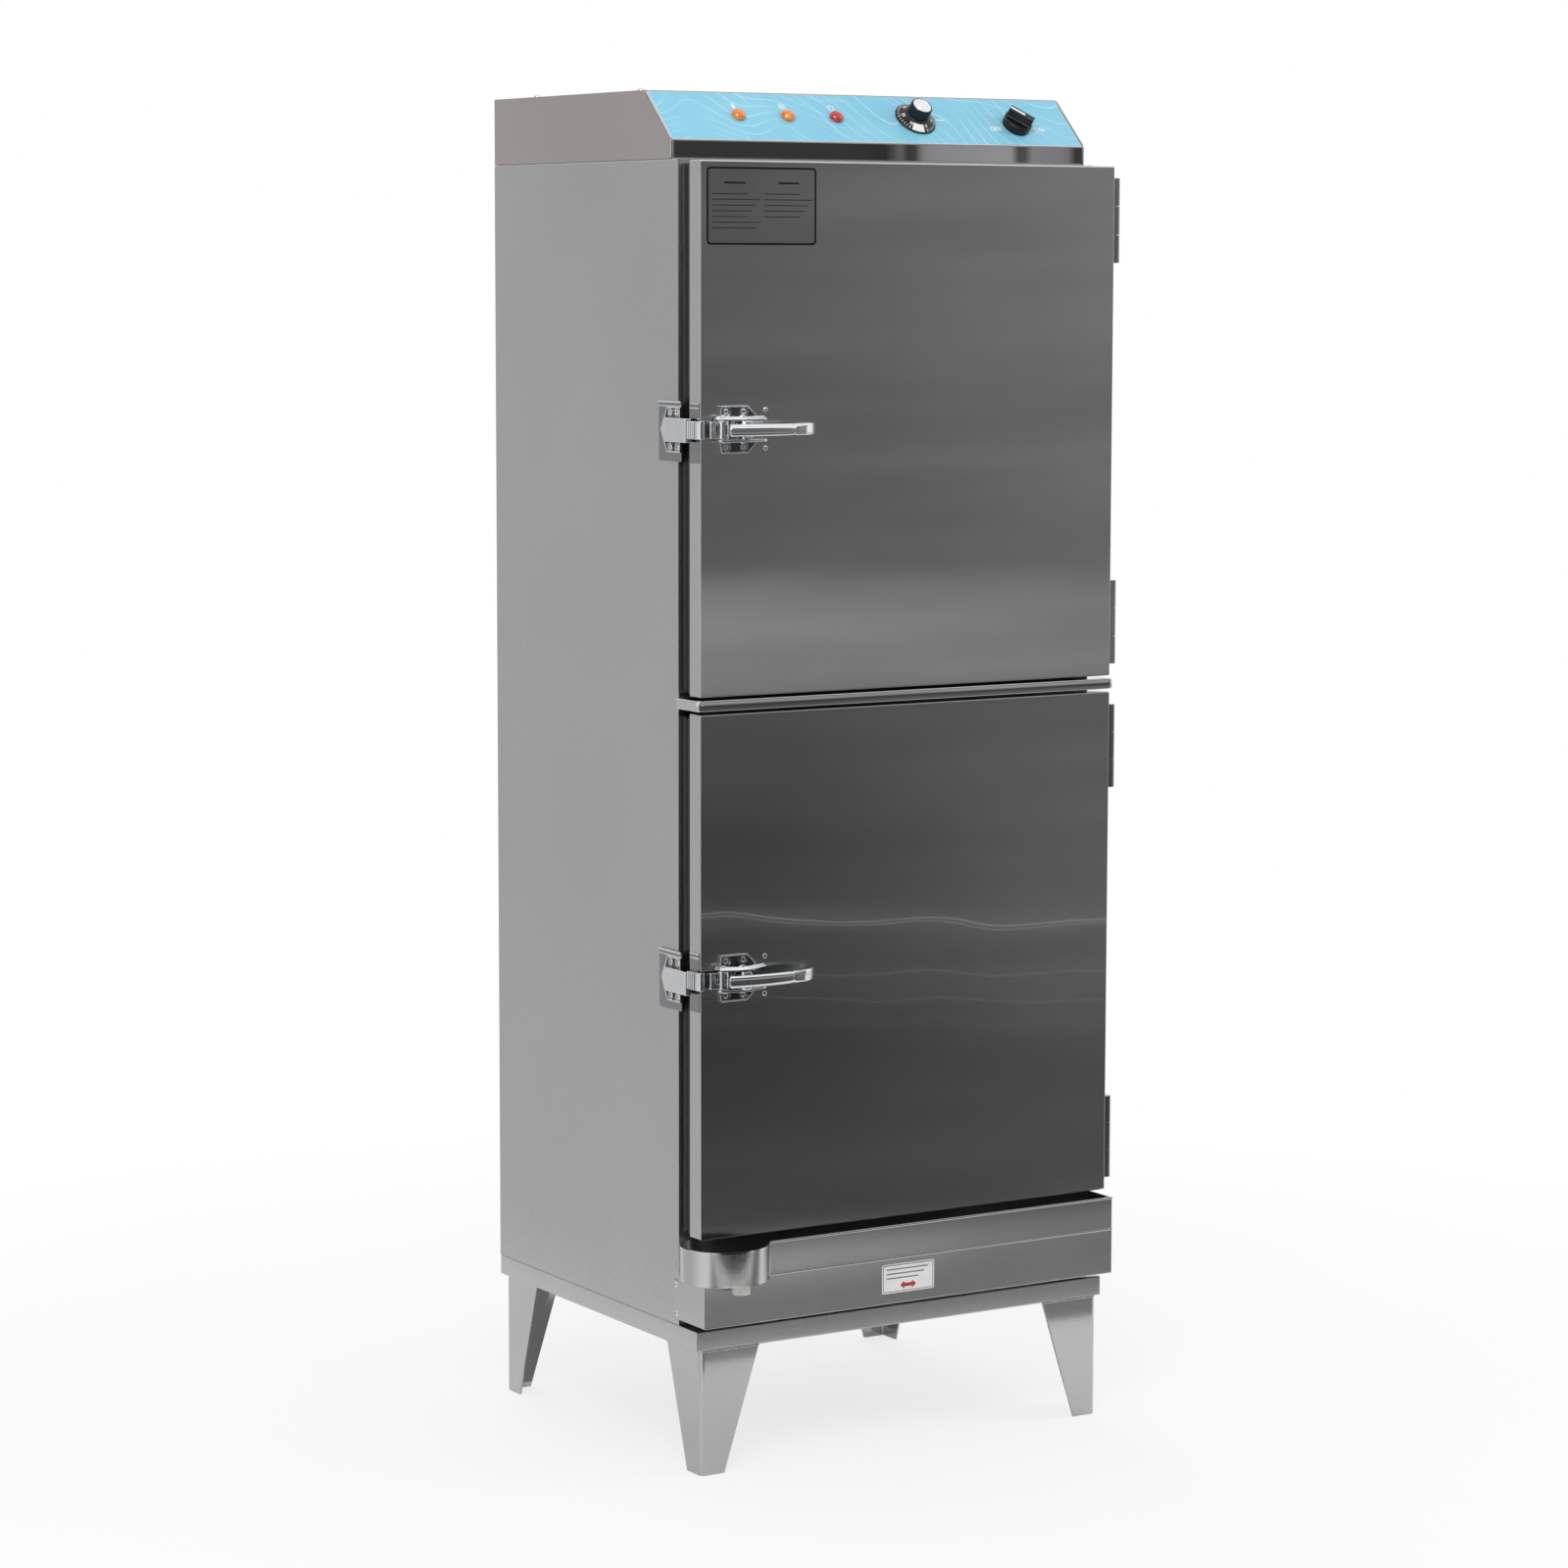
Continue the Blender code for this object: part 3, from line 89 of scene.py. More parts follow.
# The cup is drawn wider than the solid's: what lies left of its end is spread from a line
CUP_LINE, CUP_END, CUP_SPREAD = -8, 100, 1.07

# How far the foot and the head of a node are drawn above the solid's, and a strike below its latch
LIFTS = {"middle_rail": (0.4, 2.0), "lower_door_skin": (0.0, 2.2), "lower_door_liner": (0.0, 2.2),
         "drain_spout": (-2.4, 0.0)}
CATCH_DROP = {"lower": 5.0, "upper": 1.0}
# Foot and head of the black strips below and above the middle rail: painted shade in the gaps by the rail
RAIL_GAP_SHADES = ((831.4, 838.8), (851.3, 856.8))

# Screws of a latch: height above and below the middle of strike and base, and places across the base
STRIKE_SCREW, BASE_SCREW, BASE_SCREWS_AT = 18.6, 19, (30.4, 52)

# The sloping panel's frame, from the timer's joint; the row of controls lies this far up the slope
ROW = 38.5
OUT = -Vector(JOINTS["timer_turn"]["axis"]).normalized()
UP = OUT.cross(Vector((1, 0, 0)))
TIMER_AT = Vector(JOINTS["timer_turn"]["pos_m"])
PANEL_FOOT = Vector((CORNER.x, TIMER_AT.y, TIMER_AT.z)) - UP * ROW * MM
PANEL_TURN = Matrix(((1, 0, 0), UP, OUT)).transposed().to_4x4()
PANEL = Matrix.Translation(PANEL_FOOT) @ PANEL_TURN @ Matrix.Scale(MM, 4)
TIMER_X = (TIMER_AT.x - CORNER.x) / MM
SWITCH_X, SWITCH_ROW, _ = PANEL.inverted() @ Vector(JOINTS["switch_turn"]["pos_m"])
LATCHES = {name: JOINTS[f"{name}_handle_pull"]["pos_m"][2] / MM for name in ("lower", "upper")}


# Nodes and colours

def linear(code):
    """An sRGB hex value as a linear colour."""
    values = [int(code[n:n + 2], 16) / 255 for n in (1, 3, 5)]
    return tuple(v / 12.92 if v <= 0.04045 else ((v + 0.055) / 1.055) ** 2.4 for v in values) + (1.0,)


def feed(node, inputs):
    """Sets inputs of a node, by name or in order: each is a value, or the socket or node that feeds it."""
    for key, value in inputs.items() if isinstance(inputs, dict) else enumerate(inputs):
        if isinstance(value, bpy.types.Node):
            value = next(socket for socket in value.outputs if socket.enabled)
        if isinstance(value, bpy.types.NodeSocket):
            node.id_data.links.new(value, node.inputs[key])
        else:
            node.inputs[key].default_value = value


def add(tree, kind, inputs=(), **settings):
    """One node with its settings and its inputs."""
    node = tree.nodes.new(kind)
    for name, value in settings.items():
        setattr(node, name, value)
    feed(node, inputs)
    return node


def begun(name, **sockets):
    """A new material with constants set on its shader; gives its tree, shader and Object coordinates."""
    finish = bpy.data.materials.new(name)
    finish.use_nodes = True
    tree = finish.node_tree
    shader = tree.nodes["Principled BSDF"]
    feed(shader, {socket.replace("_", " "): value for socket, value in sockets.items()})
    return finish, tree, shader, add(tree, "ShaderNodeTexCoord").outputs["Object"]


# Finishes. Map Range nodes take the value, the span it comes from and the span it goes to, in that order.

# Lines of brushed grain in a millimetre: each is 0.15 mm wide and 6 mm long
GRAIN = Vector((6.5, 6.5, 0.17))


def sheet_steel(name, dull, bright, smooth, satin, ripple, anisotropic, waves=(7, 7, 3.5), **sockets):
    """Stainless sheet, AISI 304, with an upright grain that smears reflections sideways. The sheet itself
    ripples by the given millimetres, "waves" times a metre, which bends reflections."""
    finish, tree, shader, here = begun(name, Metallic=1.0, Anisotropic=anisotropic, **sockets)
    along = add(tree, "ShaderNodeMapping", {"Vector": here, "Scale": GRAIN / MM})
    grain = add(tree, "ShaderNodeTexNoise", {"Vector": along, "Scale": 1.0, "Detail": 1.0})
    cloud = add(tree, "ShaderNodeTexNoise", {"Vector": here, "Scale": 4.0, "Detail": 3.0})
    shade = add(tree, "ShaderNodeMapRange", (cloud, 0.3, 0.7))
    wide = add(tree, "ShaderNodeMapping", {"Vector": here, "Scale": waves})
    swell = add(tree, "ShaderNodeTexNoise", {"Vector": wide, "Scale": 1.0, "Detail": 1.0})
    bent = add(tree, "ShaderNodeBump", {"Strength": 1.0, "Distance": ripple * MM, "Height": swell})
    colour = add(tree, "ShaderNodeMix", {0: shade, 6: linear(dull), 7: linear(bright)}, data_type="RGBA")
    feed(shader, {
        "Base Color": colour,
        "Roughness": add(tree, "ShaderNodeMapRange", (grain, 0.46, 0.54, smooth, satin)),
        "Normal": bent, "Coat Normal": bent,
        "Tangent": add(tree, "ShaderNodeTangent", direction_type="RADIAL", axis="Z")})
    return finish


def plated(name, dull, bright, smooth, worn, size, depth):
    """Polished or plated metal: a bright skin with faint handling haze, blotches of the given size in mm,
    and a casting's soft unevenness below the plating."""
    finish, tree, shader, here = begun(name, Metallic=1.0)
    haze = add(tree, "ShaderNodeTexNoise", {"Vector": here, "Scale": 1000 / size, "Detail": 4.0})
    lumps = add(tree, "ShaderNodeTexNoise", {"Vector": here, "Scale": 1000 / (2.5 * size), "Detail": 1.0})
    colour = add(tree, "ShaderNodeMix", {0: haze, 6: linear(dull), 7: linear(bright)}, data_type="RGBA")
    feed(shader, {
        "Base Color": colour,
        "Roughness": add(tree, "ShaderNodeMapRange", (haze, 0.4, 0.75, smooth, worn)),
        "Normal": add(tree, "ShaderNodeBump", {"Strength": 1.0, "Distance": depth * MM, "Height": lumps})})
    return finish


def moulded(name, dark, light, smooth, matt, size, depth, **sockets):
    """Plastic, rubber, wool or ink: two close tones in specks of the given size in mm, with their relief."""
    finish, tree, shader, here = begun(name, **sockets)
    specks = add(tree, "ShaderNodeTexNoise", {"Vector": here, "Scale": 1000 / size, "Detail": 3.0})
    clouds = add(tree, "ShaderNodeTexNoise", {"Vector": here, "Scale": 1000 / (12 * size), "Detail": 2.0})
    mixed = add(tree, "ShaderNodeMath", (specks, clouds), operation="MULTIPLY")
    shade = add(tree, "ShaderNodeMapRange", (mixed, 0.15, 0.4))
    colour = add(tree, "ShaderNodeMix", {0: shade, 6: linear(dark), 7: linear(light)}, data_type="RGBA")
    feed(shader, {
        "Base Color": colour,
        "Roughness": add(tree, "ShaderNodeMapRange", (clouds, 0.3, 0.7, smooth, matt)),
        "Normal": add(tree, "ShaderNodeBump", {"Strength": 0.6, "Distance": depth * MM, "Height": specks})})
    return finish


def printed_film(name):
    """Reverse-printed polycarbonate film on the slope: sky blue in two close tones, with two families of long
    pale lines, 15 and 23 mm apart and 1 mm wide, that come and go: painted sheen where the film ripples."""
    finish, tree, shader, here = begun(name, Coat_Weight=0.25, Coat_Roughness=0.12)
    blotch = add(tree, "ShaderNodeTexNoise", {"Vector": here, "Scale": 9.0, "Detail": 2.0})
    colour = add(tree, "ShaderNodeMix", {0: blotch, 6: linear("#74C2DE"), 7: linear("#8FD2EA")},
                 data_type="RGBA")
    swell = add(tree, "ShaderNodeTexNoise", {"Vector": here, "Scale": 11.0, "Detail": 0.0})
    ripple_sheen_rings = ((PANEL @ Vector((40, -190, 0)), 15.0, 0.55), (PANEL @ Vector((505, 260, 0)), 23.0, 0.6))
    for centre, pitch, weight in ripple_sheen_rings:
        away = add(tree, "ShaderNodeVectorMath", (here, centre), operation="DISTANCE")
        bent = add(tree, "ShaderNodeMath", (swell, 0.11, away), operation="MULTIPLY_ADD")
        fold = add(tree, "ShaderNodeMath", (bent, pitch / 2 * MM), operation="PINGPONG")
        line = add(tree, "ShaderNodeMapRange", (fold, 0.4 * MM, 1.1 * MM, weight, 0.0))
        patch = add(tree, "ShaderNodeTexNoise", {"Vector": here, "Scale": 1 / (pitch * MM * 6)})
        shown = add(tree, "ShaderNodeMapRange", (patch, 0.42, 0.58))
        fade = add(tree, "ShaderNodeMath", (line, shown), operation="MULTIPLY")
        colour = add(tree, "ShaderNodeMix", {0: fade, 6: colour, 7: linear("#CDEDF7")}, data_type="RGBA")
    grit = add(tree, "ShaderNodeTexNoise", {"Vector": here, "Scale": 1500.0, "Detail": 2.0})
    rough = add(tree, "ShaderNodeMapRange", (grit, 0.0, 1.0, 0.3, 0.45))
    feed(shader, {"Base Color": colour, "Roughness": rough})
    return finish


def lens(name, deep, lit):
    """Moulded acrylic lamp lens: clear gloss over a colour that is paler in streaks where light gathers."""
    finish, tree, shader, here = begun(name, Roughness=0.08, Coat_Weight=1.0, Coat_Roughness=0.03,
                                       IOR=1.49, Subsurface_Weight=0.15, Subsurface_Scale=0.004)
    streaks = add(tree, "ShaderNodeTexNoise", {"Vector": here, "Scale": 210.0, "Detail": 1.0})
    shade = add(tree, "ShaderNodeMapRange", (streaks, 0.38, 0.66))
    colour = add(tree, "ShaderNodeMix", {0: shade, 6: linear(deep), 7: linear(lit)}, data_type="RGBA")
    feed(shader, {"Base Color": colour})
    return finish


# Doors: number 4 finish. The smooth lands between its scratches mirror sharply and are drawn as a clear coat.
DOOR_STEEL = sheet_steel("brushed_stainless_door", "#BABABA", "#C2C2C2", 0.22, 0.27, 0.45, 1.0, (4, 4, 13),
                         Coat_Weight=1.0, Coat_Roughness=0.025, Coat_IOR=2.0)
# Casing: brushed, smears what it mirrors into soft bands. Head: cold rolled, warmer and plainer.
CASE_STEEL = sheet_steel("brushed_stainless_casing", "#C0C0C0", "#C4C4C4", 0.27, 0.33, 0.08, 0.4)
HEAD_STEEL = sheet_steel("cold_rolled_stainless_head", "#BDB6B5", "#C2BBBA", 0.24, 0.28, 0.12, 0.2)
# Folded parts: a soft sheen. Legs: bright annealed, nearly a mirror. Cup: spun, wavy and bright.
FOLD_STEEL = sheet_steel("cold_rolled_stainless", "#C2C2C2", "#C9C9C9", 0.18, 0.25, 0.2, 0.3)
LEG_STEEL = sheet_steel("bright_annealed_stainless", "#BCBCBC", "#C4C4C4", 0.07, 0.10, 0.12, 0.0)
CUP_STEEL = sheet_steel("spun_stainless_cup", "#BEBEBE", "#CFCFCF", 0.10, 0.20, 0.9, 0.0)
# Plates behind the latches: mirrors, their colour darkened as painted shade. Liners: satin, pale and dull.
SHADED_PLATE_STEEL = sheet_steel("mirror_stainless_plate_painted_shade", "#8C8D8F", "#A2A3A6", 0.12, 0.2, 0.1, 0.0)
INNER_STEEL = sheet_steel("satin_stainless_liner", "#B4B3B1", "#C2C1BF", 0.28, 0.42, 0.3, 0.4)
# Polished, chromed and spun: bright, with sharp reflections that haze where hands go
POLISHED = plated("polished_stainless", "#C6C6C8", "#D6D6D8", 0.06, 0.16, 30, 0.02)
CHROME = plated("chrome_plated_die_casting", "#DADCDF", "#EDEFF1", 0.04, 0.12, 14, 0.03)
# Recesses: painted shade, dark and dull. Heater sheath: blackened by heat, dark and dull
RECESS_SHADE = plated("painted_shade_recess", "#5A5B5D", "#7C7D80", 0.25, 0.45, 6, 0.05)
SHEATH = plated("oxidised_nickel_alloy_sheath", "#6E6A66", "#948E88", 0.35, 0.55, 8, 0.05)
# Spun aluminium: pale, silky. Lip and rail: a clean mirror. Hinges: tumbled, grey. Foil: a grey sheen.
SPUN = plated("spun_aluminium", "#E4E4E6", "#F6F6F6", 0.16, 0.3, 3, 0.01)
MIRROR = plated("mirror_polished_stainless", "#CECED2", "#D8D8DB", 0.015, 0.035, 90, 0.0)
HINGE = plated("tumbled_stainless_hinge", "#A2A2A4", "#AEAEB0", 0.2, 0.24, 8, 0.02)
TINTED = plated("tinted_metal_foil", "#B6B5B5", "#BBBABA", 0.20, 0.26, 120, 0.0)
# Rubber and wool: dull, uneven. Phenolic: black with a low gloss. Nylon: milky, lets light in.
RUBBER = moulded("black_epdm_rubber", "#131314", "#232324", 0.3, 0.45, 1.5, 0.03)
WOOL = moulded("mineral_wool", "#A8986A", "#D2C494", 0.9, 1.0, 6, 1.5)
BLACK = moulded("black_phenolic", "#07080A", "#101114", 0.2, 0.3, 1.2, 0.01, IOR=1.45)
PALE = moulded("natural_nylon", "#D2D1CB", "#E4E3DD", 0.3, 0.45, 2, 0.02, Subsurface_Weight=0.25,
               Subsurface_Scale=0.004)
# Inks: flat, even and a little rough. Vinyl: white with a slight gloss.
WHITE_INK = moulded("white_screen_ink", "#F0F3F4", "#FBFCFC", 0.35, 0.5, 0.6, 0.005)
DARK_INK = moulded("black_screen_ink", "#0B0B0C", "#141415", 0.45, 0.6, 0.6, 0.005, IOR=1.3)
GREY_INK = moulded("grey_screen_ink", "#6E7174", "#85888B", 0.4, 0.55, 0.6, 0.005)
RED_INK = moulded("red_screen_ink", "#B3222B", "#C8343A", 0.35, 0.5, 0.6, 0.005)
VINYL = moulded("white_vinyl_film", "#E2E3E3", "#ECECEB", 0.3, 0.4, 2, 0.005)
# Film and lenses: clear gloss over their colour
FILM = printed_film("printed_polycarbonate")
AMBER = lens("amber_acrylic", "#E5700F", "#F9A637")
RED = lens("red_acrylic", "#A80F1E", "#DC2F38")

FINISH_OF_SLOT = {
    "brushed_stainless": CASE_STEEL, "polished_stainless": POLISHED, "chrome": CHROME, "black_rubber": RUBBER,
    "mineral_wool": WOOL, "blue_overlay": FILM, "amber_lens": AMBER, "red_lens": RED, "black_plastic": BLACK,
    "pale_plastic": PALE, "heater_sheath": SHEATH}


# Shapes, in millimetres

def arc(centre, radius, start, stop, steps):
    """Points of an arc between two angles in degrees, both ends included."""
    turn = [radians(start + (stop - start) * n / steps) for n in range(steps + 1)]
    return [(centre[0] + radius * cos(a), centre[1] + radius * sin(a)) for a in turn]


def rounded(left, right, low, high, radius):
    """A rectangle with round corners."""
    corners = ((right, high, 0), (left, high, 90), (left, low, 180), (right, low, 270))
    points = []
    for x, y, start in corners:
        centre = (x - radius if x == right else x + radius, y - radius if y == high else y + radius)
        points += arc(centre, radius, start, start + 90, 6)
    return points


def stroke(line, width):
    """The outline of a line of points drawn with a pen of that width."""
    sides = ([], [])
    for n, point in enumerate(line):
        ahead = (Vector(line[min(n + 1, len(line) - 1)]) - Vector(line[max(n - 1, 0)])).normalized()
        across = Vector((-ahead.y, ahead.x)) * width / 2
        sides[0].append(tuple(Vector(point) + across))
        sides[1].append(tuple(Vector(point) - across))
    return sides[0] + sides[1][::-1]


def plate(outline, low, high, holes=()):
    """A flat outline with holes, as a solid between two heights."""
    shape = bmesh.new()
    loops = [[shape.verts.new((x, y, low)) for x, y in loop] for loop in (outline, *holes)]
    edges = [shape.edges.new((loop[n - 1], vert)) for loop in loops for n, vert in enumerate(loop)]
    bmesh.ops.triangle_fill(shape, edges=edges, use_beauty=True)
    top = {vert: shape.verts.new((vert.co.x, vert.co.y, high)) for loop in loops for vert in loop}
    for face in list(shape.faces):
        shape.faces.new([top[vert] for vert in face.verts])
    for loop in loops:
        for n, vert in enumerate(loop):
            shape.faces.new((loop[n - 1], vert, top[vert], top[loop[n - 1]]))
    bmesh.ops.recalc_face_normals(shape, faces=shape.faces[:])
    return shape


def turned(profile, steps=64, flutes=0, depth=0.0, between=(0, 0)):
    """A solid of revolution about z from (radius, height) points that start and end on the axis; rows between
    two heights can be fluted."""
    shape = bmesh.new()
    rows = []
    for radius, height in profile:
        row = []
        for n in range(steps if radius else 1):
            turn = 2 * pi * n / steps
            cut = depth * (0.5 + 0.5 * cos(flutes * turn)) if between[0] < height < between[1] else 0
            row.append(shape.verts.new(((radius - cut) * cos(turn), (radius - cut) * sin(turn), height)))
        rows.append(row)
    for one, two in zip(rows, rows[1:]):
        for n in range(steps):
            ring = (one[n % len(one)], one[(n + 1) % len(one)], two[(n + 1) % len(two)], two[n % len(two)])
            shape.faces.new(list(dict.fromkeys(ring)))
    bmesh.ops.recalc_face_normals(shape, faces=shape.faces[:])
    return shape


def joined(*shapes):
    """Several shapes as one."""
    whole = bmesh.new()
    for shape in shapes:
        mesh = bpy.data.meshes.new("joining")
        shape.to_mesh(mesh)
        shape.free()
        whole.from_mesh(mesh)
        bpy.data.meshes.remove(mesh)
    return whole


def placed(shape, *places):
    """A shape moved by each matrix in turn, from the last to the first."""
    for place in reversed(places):
        shape.transform(place)
    return shape


def linked(name, data):
    """A new object in the scene."""
    obj = bpy.data.objects.new(name, data)
    bpy.context.collection.objects.link(obj)
    return obj


def baked(obj):
    """The plain mesh of an object with its modifiers; the object itself goes."""
    mesh = bpy.data.meshes.new_from_object(obj.evaluated_get(bpy.context.evaluated_depsgraph_get()))
    bpy.data.objects.remove(obj)
    return mesh


def lettering(words, size):
    """Plain letters or numbers, centred, as a solid 0.1 mm thick."""
    curve = bpy.data.curves.new("lettering", "FONT")
    curve.body, curve.size, curve.extrude, curve.resolution_u = words, size, 0.05, 3
    curve.align_x, curve.align_y, curve.offset = "CENTER", "CENTER", 0.016 * size
    mesh = baked(linked("lettering", curve))
    shape = bmesh.new()
    shape.from_mesh(mesh)
    bmesh.ops.remove_doubles(shape, verts=shape.verts[:], dist=1e-4)
    bmesh.ops.translate(shape, verts=shape.verts[:], vec=(0, 0, 0.05))
    bpy.data.curves.remove(curve)
    bpy.data.meshes.remove(mesh)
    return shape


def loft(loops):
    """A solid through closed loops of as many points each."""
    shape = bmesh.new()
    rows = [[shape.verts.new(point) for point in loop] for loop in loops]
    for one, two in zip(rows, rows[1:]):
        for n in range(len(one)):
            shape.faces.new((one[n - 1], one[n], two[n], two[n - 1]))
    for row in (rows[0], rows[-1]):
        shape.faces.new(row)
    bmesh.ops.recalc_face_normals(shape, faces=shape.faces[:])
    return shape


def bead(start, stop, radius):
    """A round bar between two points."""
    start, stop = Vector(start), Vector(stop)
    turn = (stop - start).to_track_quat("Z", "Y").to_matrix()
    ring = [turn @ Vector((x, y, 0)) for x, y in arc((0, 0), radius, 0, 330, 11)]
    return loft([[end + point for point in ring] for end in (start, stop)])


# Edges that are dissolved as flat, edges that count as sharp, and how many radii wide a face beside them is
FLAT, SHARP, ROOM = radians(0.5), radians(40), 2.6


def eased(shape, *radii, unit=1.0):
    """A shape with its sharp outer edges rounded by each radius where both faces are wide enough."""
    bmesh.ops.dissolve_limit(shape, angle_limit=FLAT, verts=shape.verts[:], edges=shape.edges[:])
    for radius in radii:
        edges = []
        for edge in shape.edges:
            if len(edge.link_faces) != 2 or not edge.is_convex or edge.calc_face_angle() < SHARP:
                continue
            if min(face.calc_area() for face in edge.link_faces) / edge.calc_length() > ROOM * radius * unit:
                edges.append(edge)
        bmesh.ops.bevel(shape, geom=edges, offset=radius * unit, segments=3, profile=0.5, affect="EDGES",
                        clamp_overlap=True)
    return shape


def widened(shape, line=CUP_LINE, end=CUP_END):
    """A shape whose part left of the end is spread from the line, as the gutter's cup is."""
    for vert in shape.verts:
        if vert.co.x < end:
            vert.co.x = line + (vert.co.x - line) * CUP_SPREAD
    return shape


def softened(node, *radii):
    """A merged copy of a node's mesh with its outer edges rounded."""
    shape = bmesh.new()
    shape.from_mesh(frame["nodes"][node].data)
    bmesh.ops.remove_doubles(shape, verts=shape.verts[:], dist=2e-6)
    if node in LIFTS:
        middle = sum(corner.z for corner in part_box(node)) / 2
        for vert in shape.verts:
            vert.co.z += LIFTS[node][vert.co.z > middle] * MM
    if node == "drip_gutter":
        widened(shape, *((CABINET @ Vector((x, 0, 0))).x for x in (CUP_LINE, CUP_END)))
    return eased(shape, *radii, unit=MM)


# Pieces

def piece(name, shape, place, finish, body, stands_for=(), angle=40):
    """One finished piece, from a shape, several shapes or a mesh that lie in a frame: smooth, with flat faces
    kept flat, riding on its body."""
    mesh = shape = joined(*shape) if isinstance(shape, list) else shape
    shape.transform(place)
    if isinstance(shape, bmesh.types.BMesh):
        mesh = bpy.data.meshes.new(name)
        shape.to_mesh(mesh)
        shape.free()
    if finish:
        mesh.materials.clear()
        mesh.materials.append(finish)
    mesh.shade_smooth()
    mesh.set_sharp_from_angle(angle=radians(angle))
    rough = linked("rough", mesh)
    rough.modifiers.new("flat", "WEIGHTED_NORMAL").keep_sharp = True
    done = baked(rough)
    bpy.data.meshes.remove(mesh)
    done.name = name
    obj = linked(name, done)
    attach(obj, body)
    if stands_for:
        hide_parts(*stands_for)
    return obj


def dress(node, finish, *radii, angle=40):
    """A node's own shape with rounded edges, in its place."""
    shape = softened(node, *radii)
    return piece(f"{node}_finished", shape, WORLD, finish, BODY_OF[node], [node], angle)


# Geometry Nodes

def new_tree(name, **inputs):
    """A geometry tree with its named inputs; gives the tree and its input sockets."""
    tree = bpy.data.node_groups.new(name, "GeometryNodeTree")
    for label, kind in {"Geometry": "Geometry", **inputs}.items():
        tree.interface.new_socket(label, in_out="INPUT", socket_type=f"NodeSocket{kind}")
    tree.interface.new_socket("Geometry", in_out="OUTPUT", socket_type="NodeSocketGeometry")
    return tree, add(tree, "NodeGroupInput").outputs


def end_tree(tree, instances, finish):
    """Every tree ends in real geometry with its material."""
    real = add(tree, "GeometryNodeRealizeInstances", (instances,))
    done = add(tree, "GeometryNodeSetMaterial", {"Geometry": real, "Material": finish})
    add(tree, "NodeGroupOutput", (done,))
    return tree


def screw_tree():
    """Domed heads on points, turned to each point's "out" and as wide as its "size", with a cross recess."""
    tree, given = new_tree("domed_heads", Height="Float", Recess="Float", Cross="Bool", Finish="Material")
    ball = add(tree, "GeometryNodeMeshUVSphere", {"Segments": 20, "Rings": 12, "Radius": 1.0})
    below = add(tree, "GeometryNodeMeshCube", {"Size": (3, 3, 2)})
    below = add(tree, "GeometryNodeTransform", {"Geometry": below, "Translation": (0, 0, -1)})
    dome = add(tree, "GeometryNodeMeshBoolean", {"Mesh 1": ball, "Mesh 2": below}, operation="DIFFERENCE")
    cut = dome
    for x, y in ((1.1, given["Recess"]), (given["Recess"], 1.1)):
        arm = add(tree, "GeometryNodeMeshCube", {"Size": add(tree, "ShaderNodeCombineXYZ", (x, y, 0.9))})
        arm = add(tree, "GeometryNodeTransform", {"Geometry": arm, "Translation": (0, 0, 0.9)})
        cut = add(tree, "GeometryNodeMeshBoolean", {"Mesh 1": cut, "Mesh 2": arm}, operation="DIFFERENCE")
    head = add(tree, "GeometryNodeSwitch", {"Switch": given["Cross"], "False": dome, "True": cut},
               input_type="GEOMETRY")
    flat = add(tree, "ShaderNodeCombineXYZ", (1.0, 1.0, given["Height"]))
    head = add(tree, "GeometryNodeTransform", {"Geometry": head, "Scale": flat})
    way = add(tree, "GeometryNodeInputNamedAttribute", {"Name": "out"}, data_type="FLOAT_VECTOR")
    facing = add(tree, "FunctionNodeAlignRotationToVector", {"Vector": way}, axis="Z")
    size = add(tree, "GeometryNodeInputNamedAttribute", {"Name": "size"}, data_type="FLOAT")
    heads = add(tree, "GeometryNodeInstanceOnPoints", {
        "Points": given["Geometry"], "Instance": head, "Rotation": facing, "Scale": size})
    return end_tree(tree, heads, given["Finish"])


def weld_tree():
    """Overlapping beads of uneven size along lines."""
    tree, given = new_tree("weld_beads", Bead="Float", Pitch="Float", Seed="Int", Finish="Material")
    line = add(tree, "GeometryNodeMeshToCurve", (given["Geometry"],))
    steps = add(tree, "GeometryNodeResampleCurve", {"Curve": line, "Length": given["Pitch"]}, mode="LENGTH")
    drop = add(tree, "GeometryNodeMeshIcoSphere", {"Radius": given["Bead"], "Subdivisions": 2})
    uneven = add(tree, "FunctionNodeRandomValue", {
        0: (0.6, 0.5, 0.5), 1: (1.25, 1.1, 1.1), "Seed": given["Seed"]}, data_type="FLOAT_VECTOR")
    drops = add(tree, "GeometryNodeInstanceOnPoints", {"Points": steps, "Instance": drop, "Scale": uneven})
    return end_tree(tree, drops, given["Finish"])


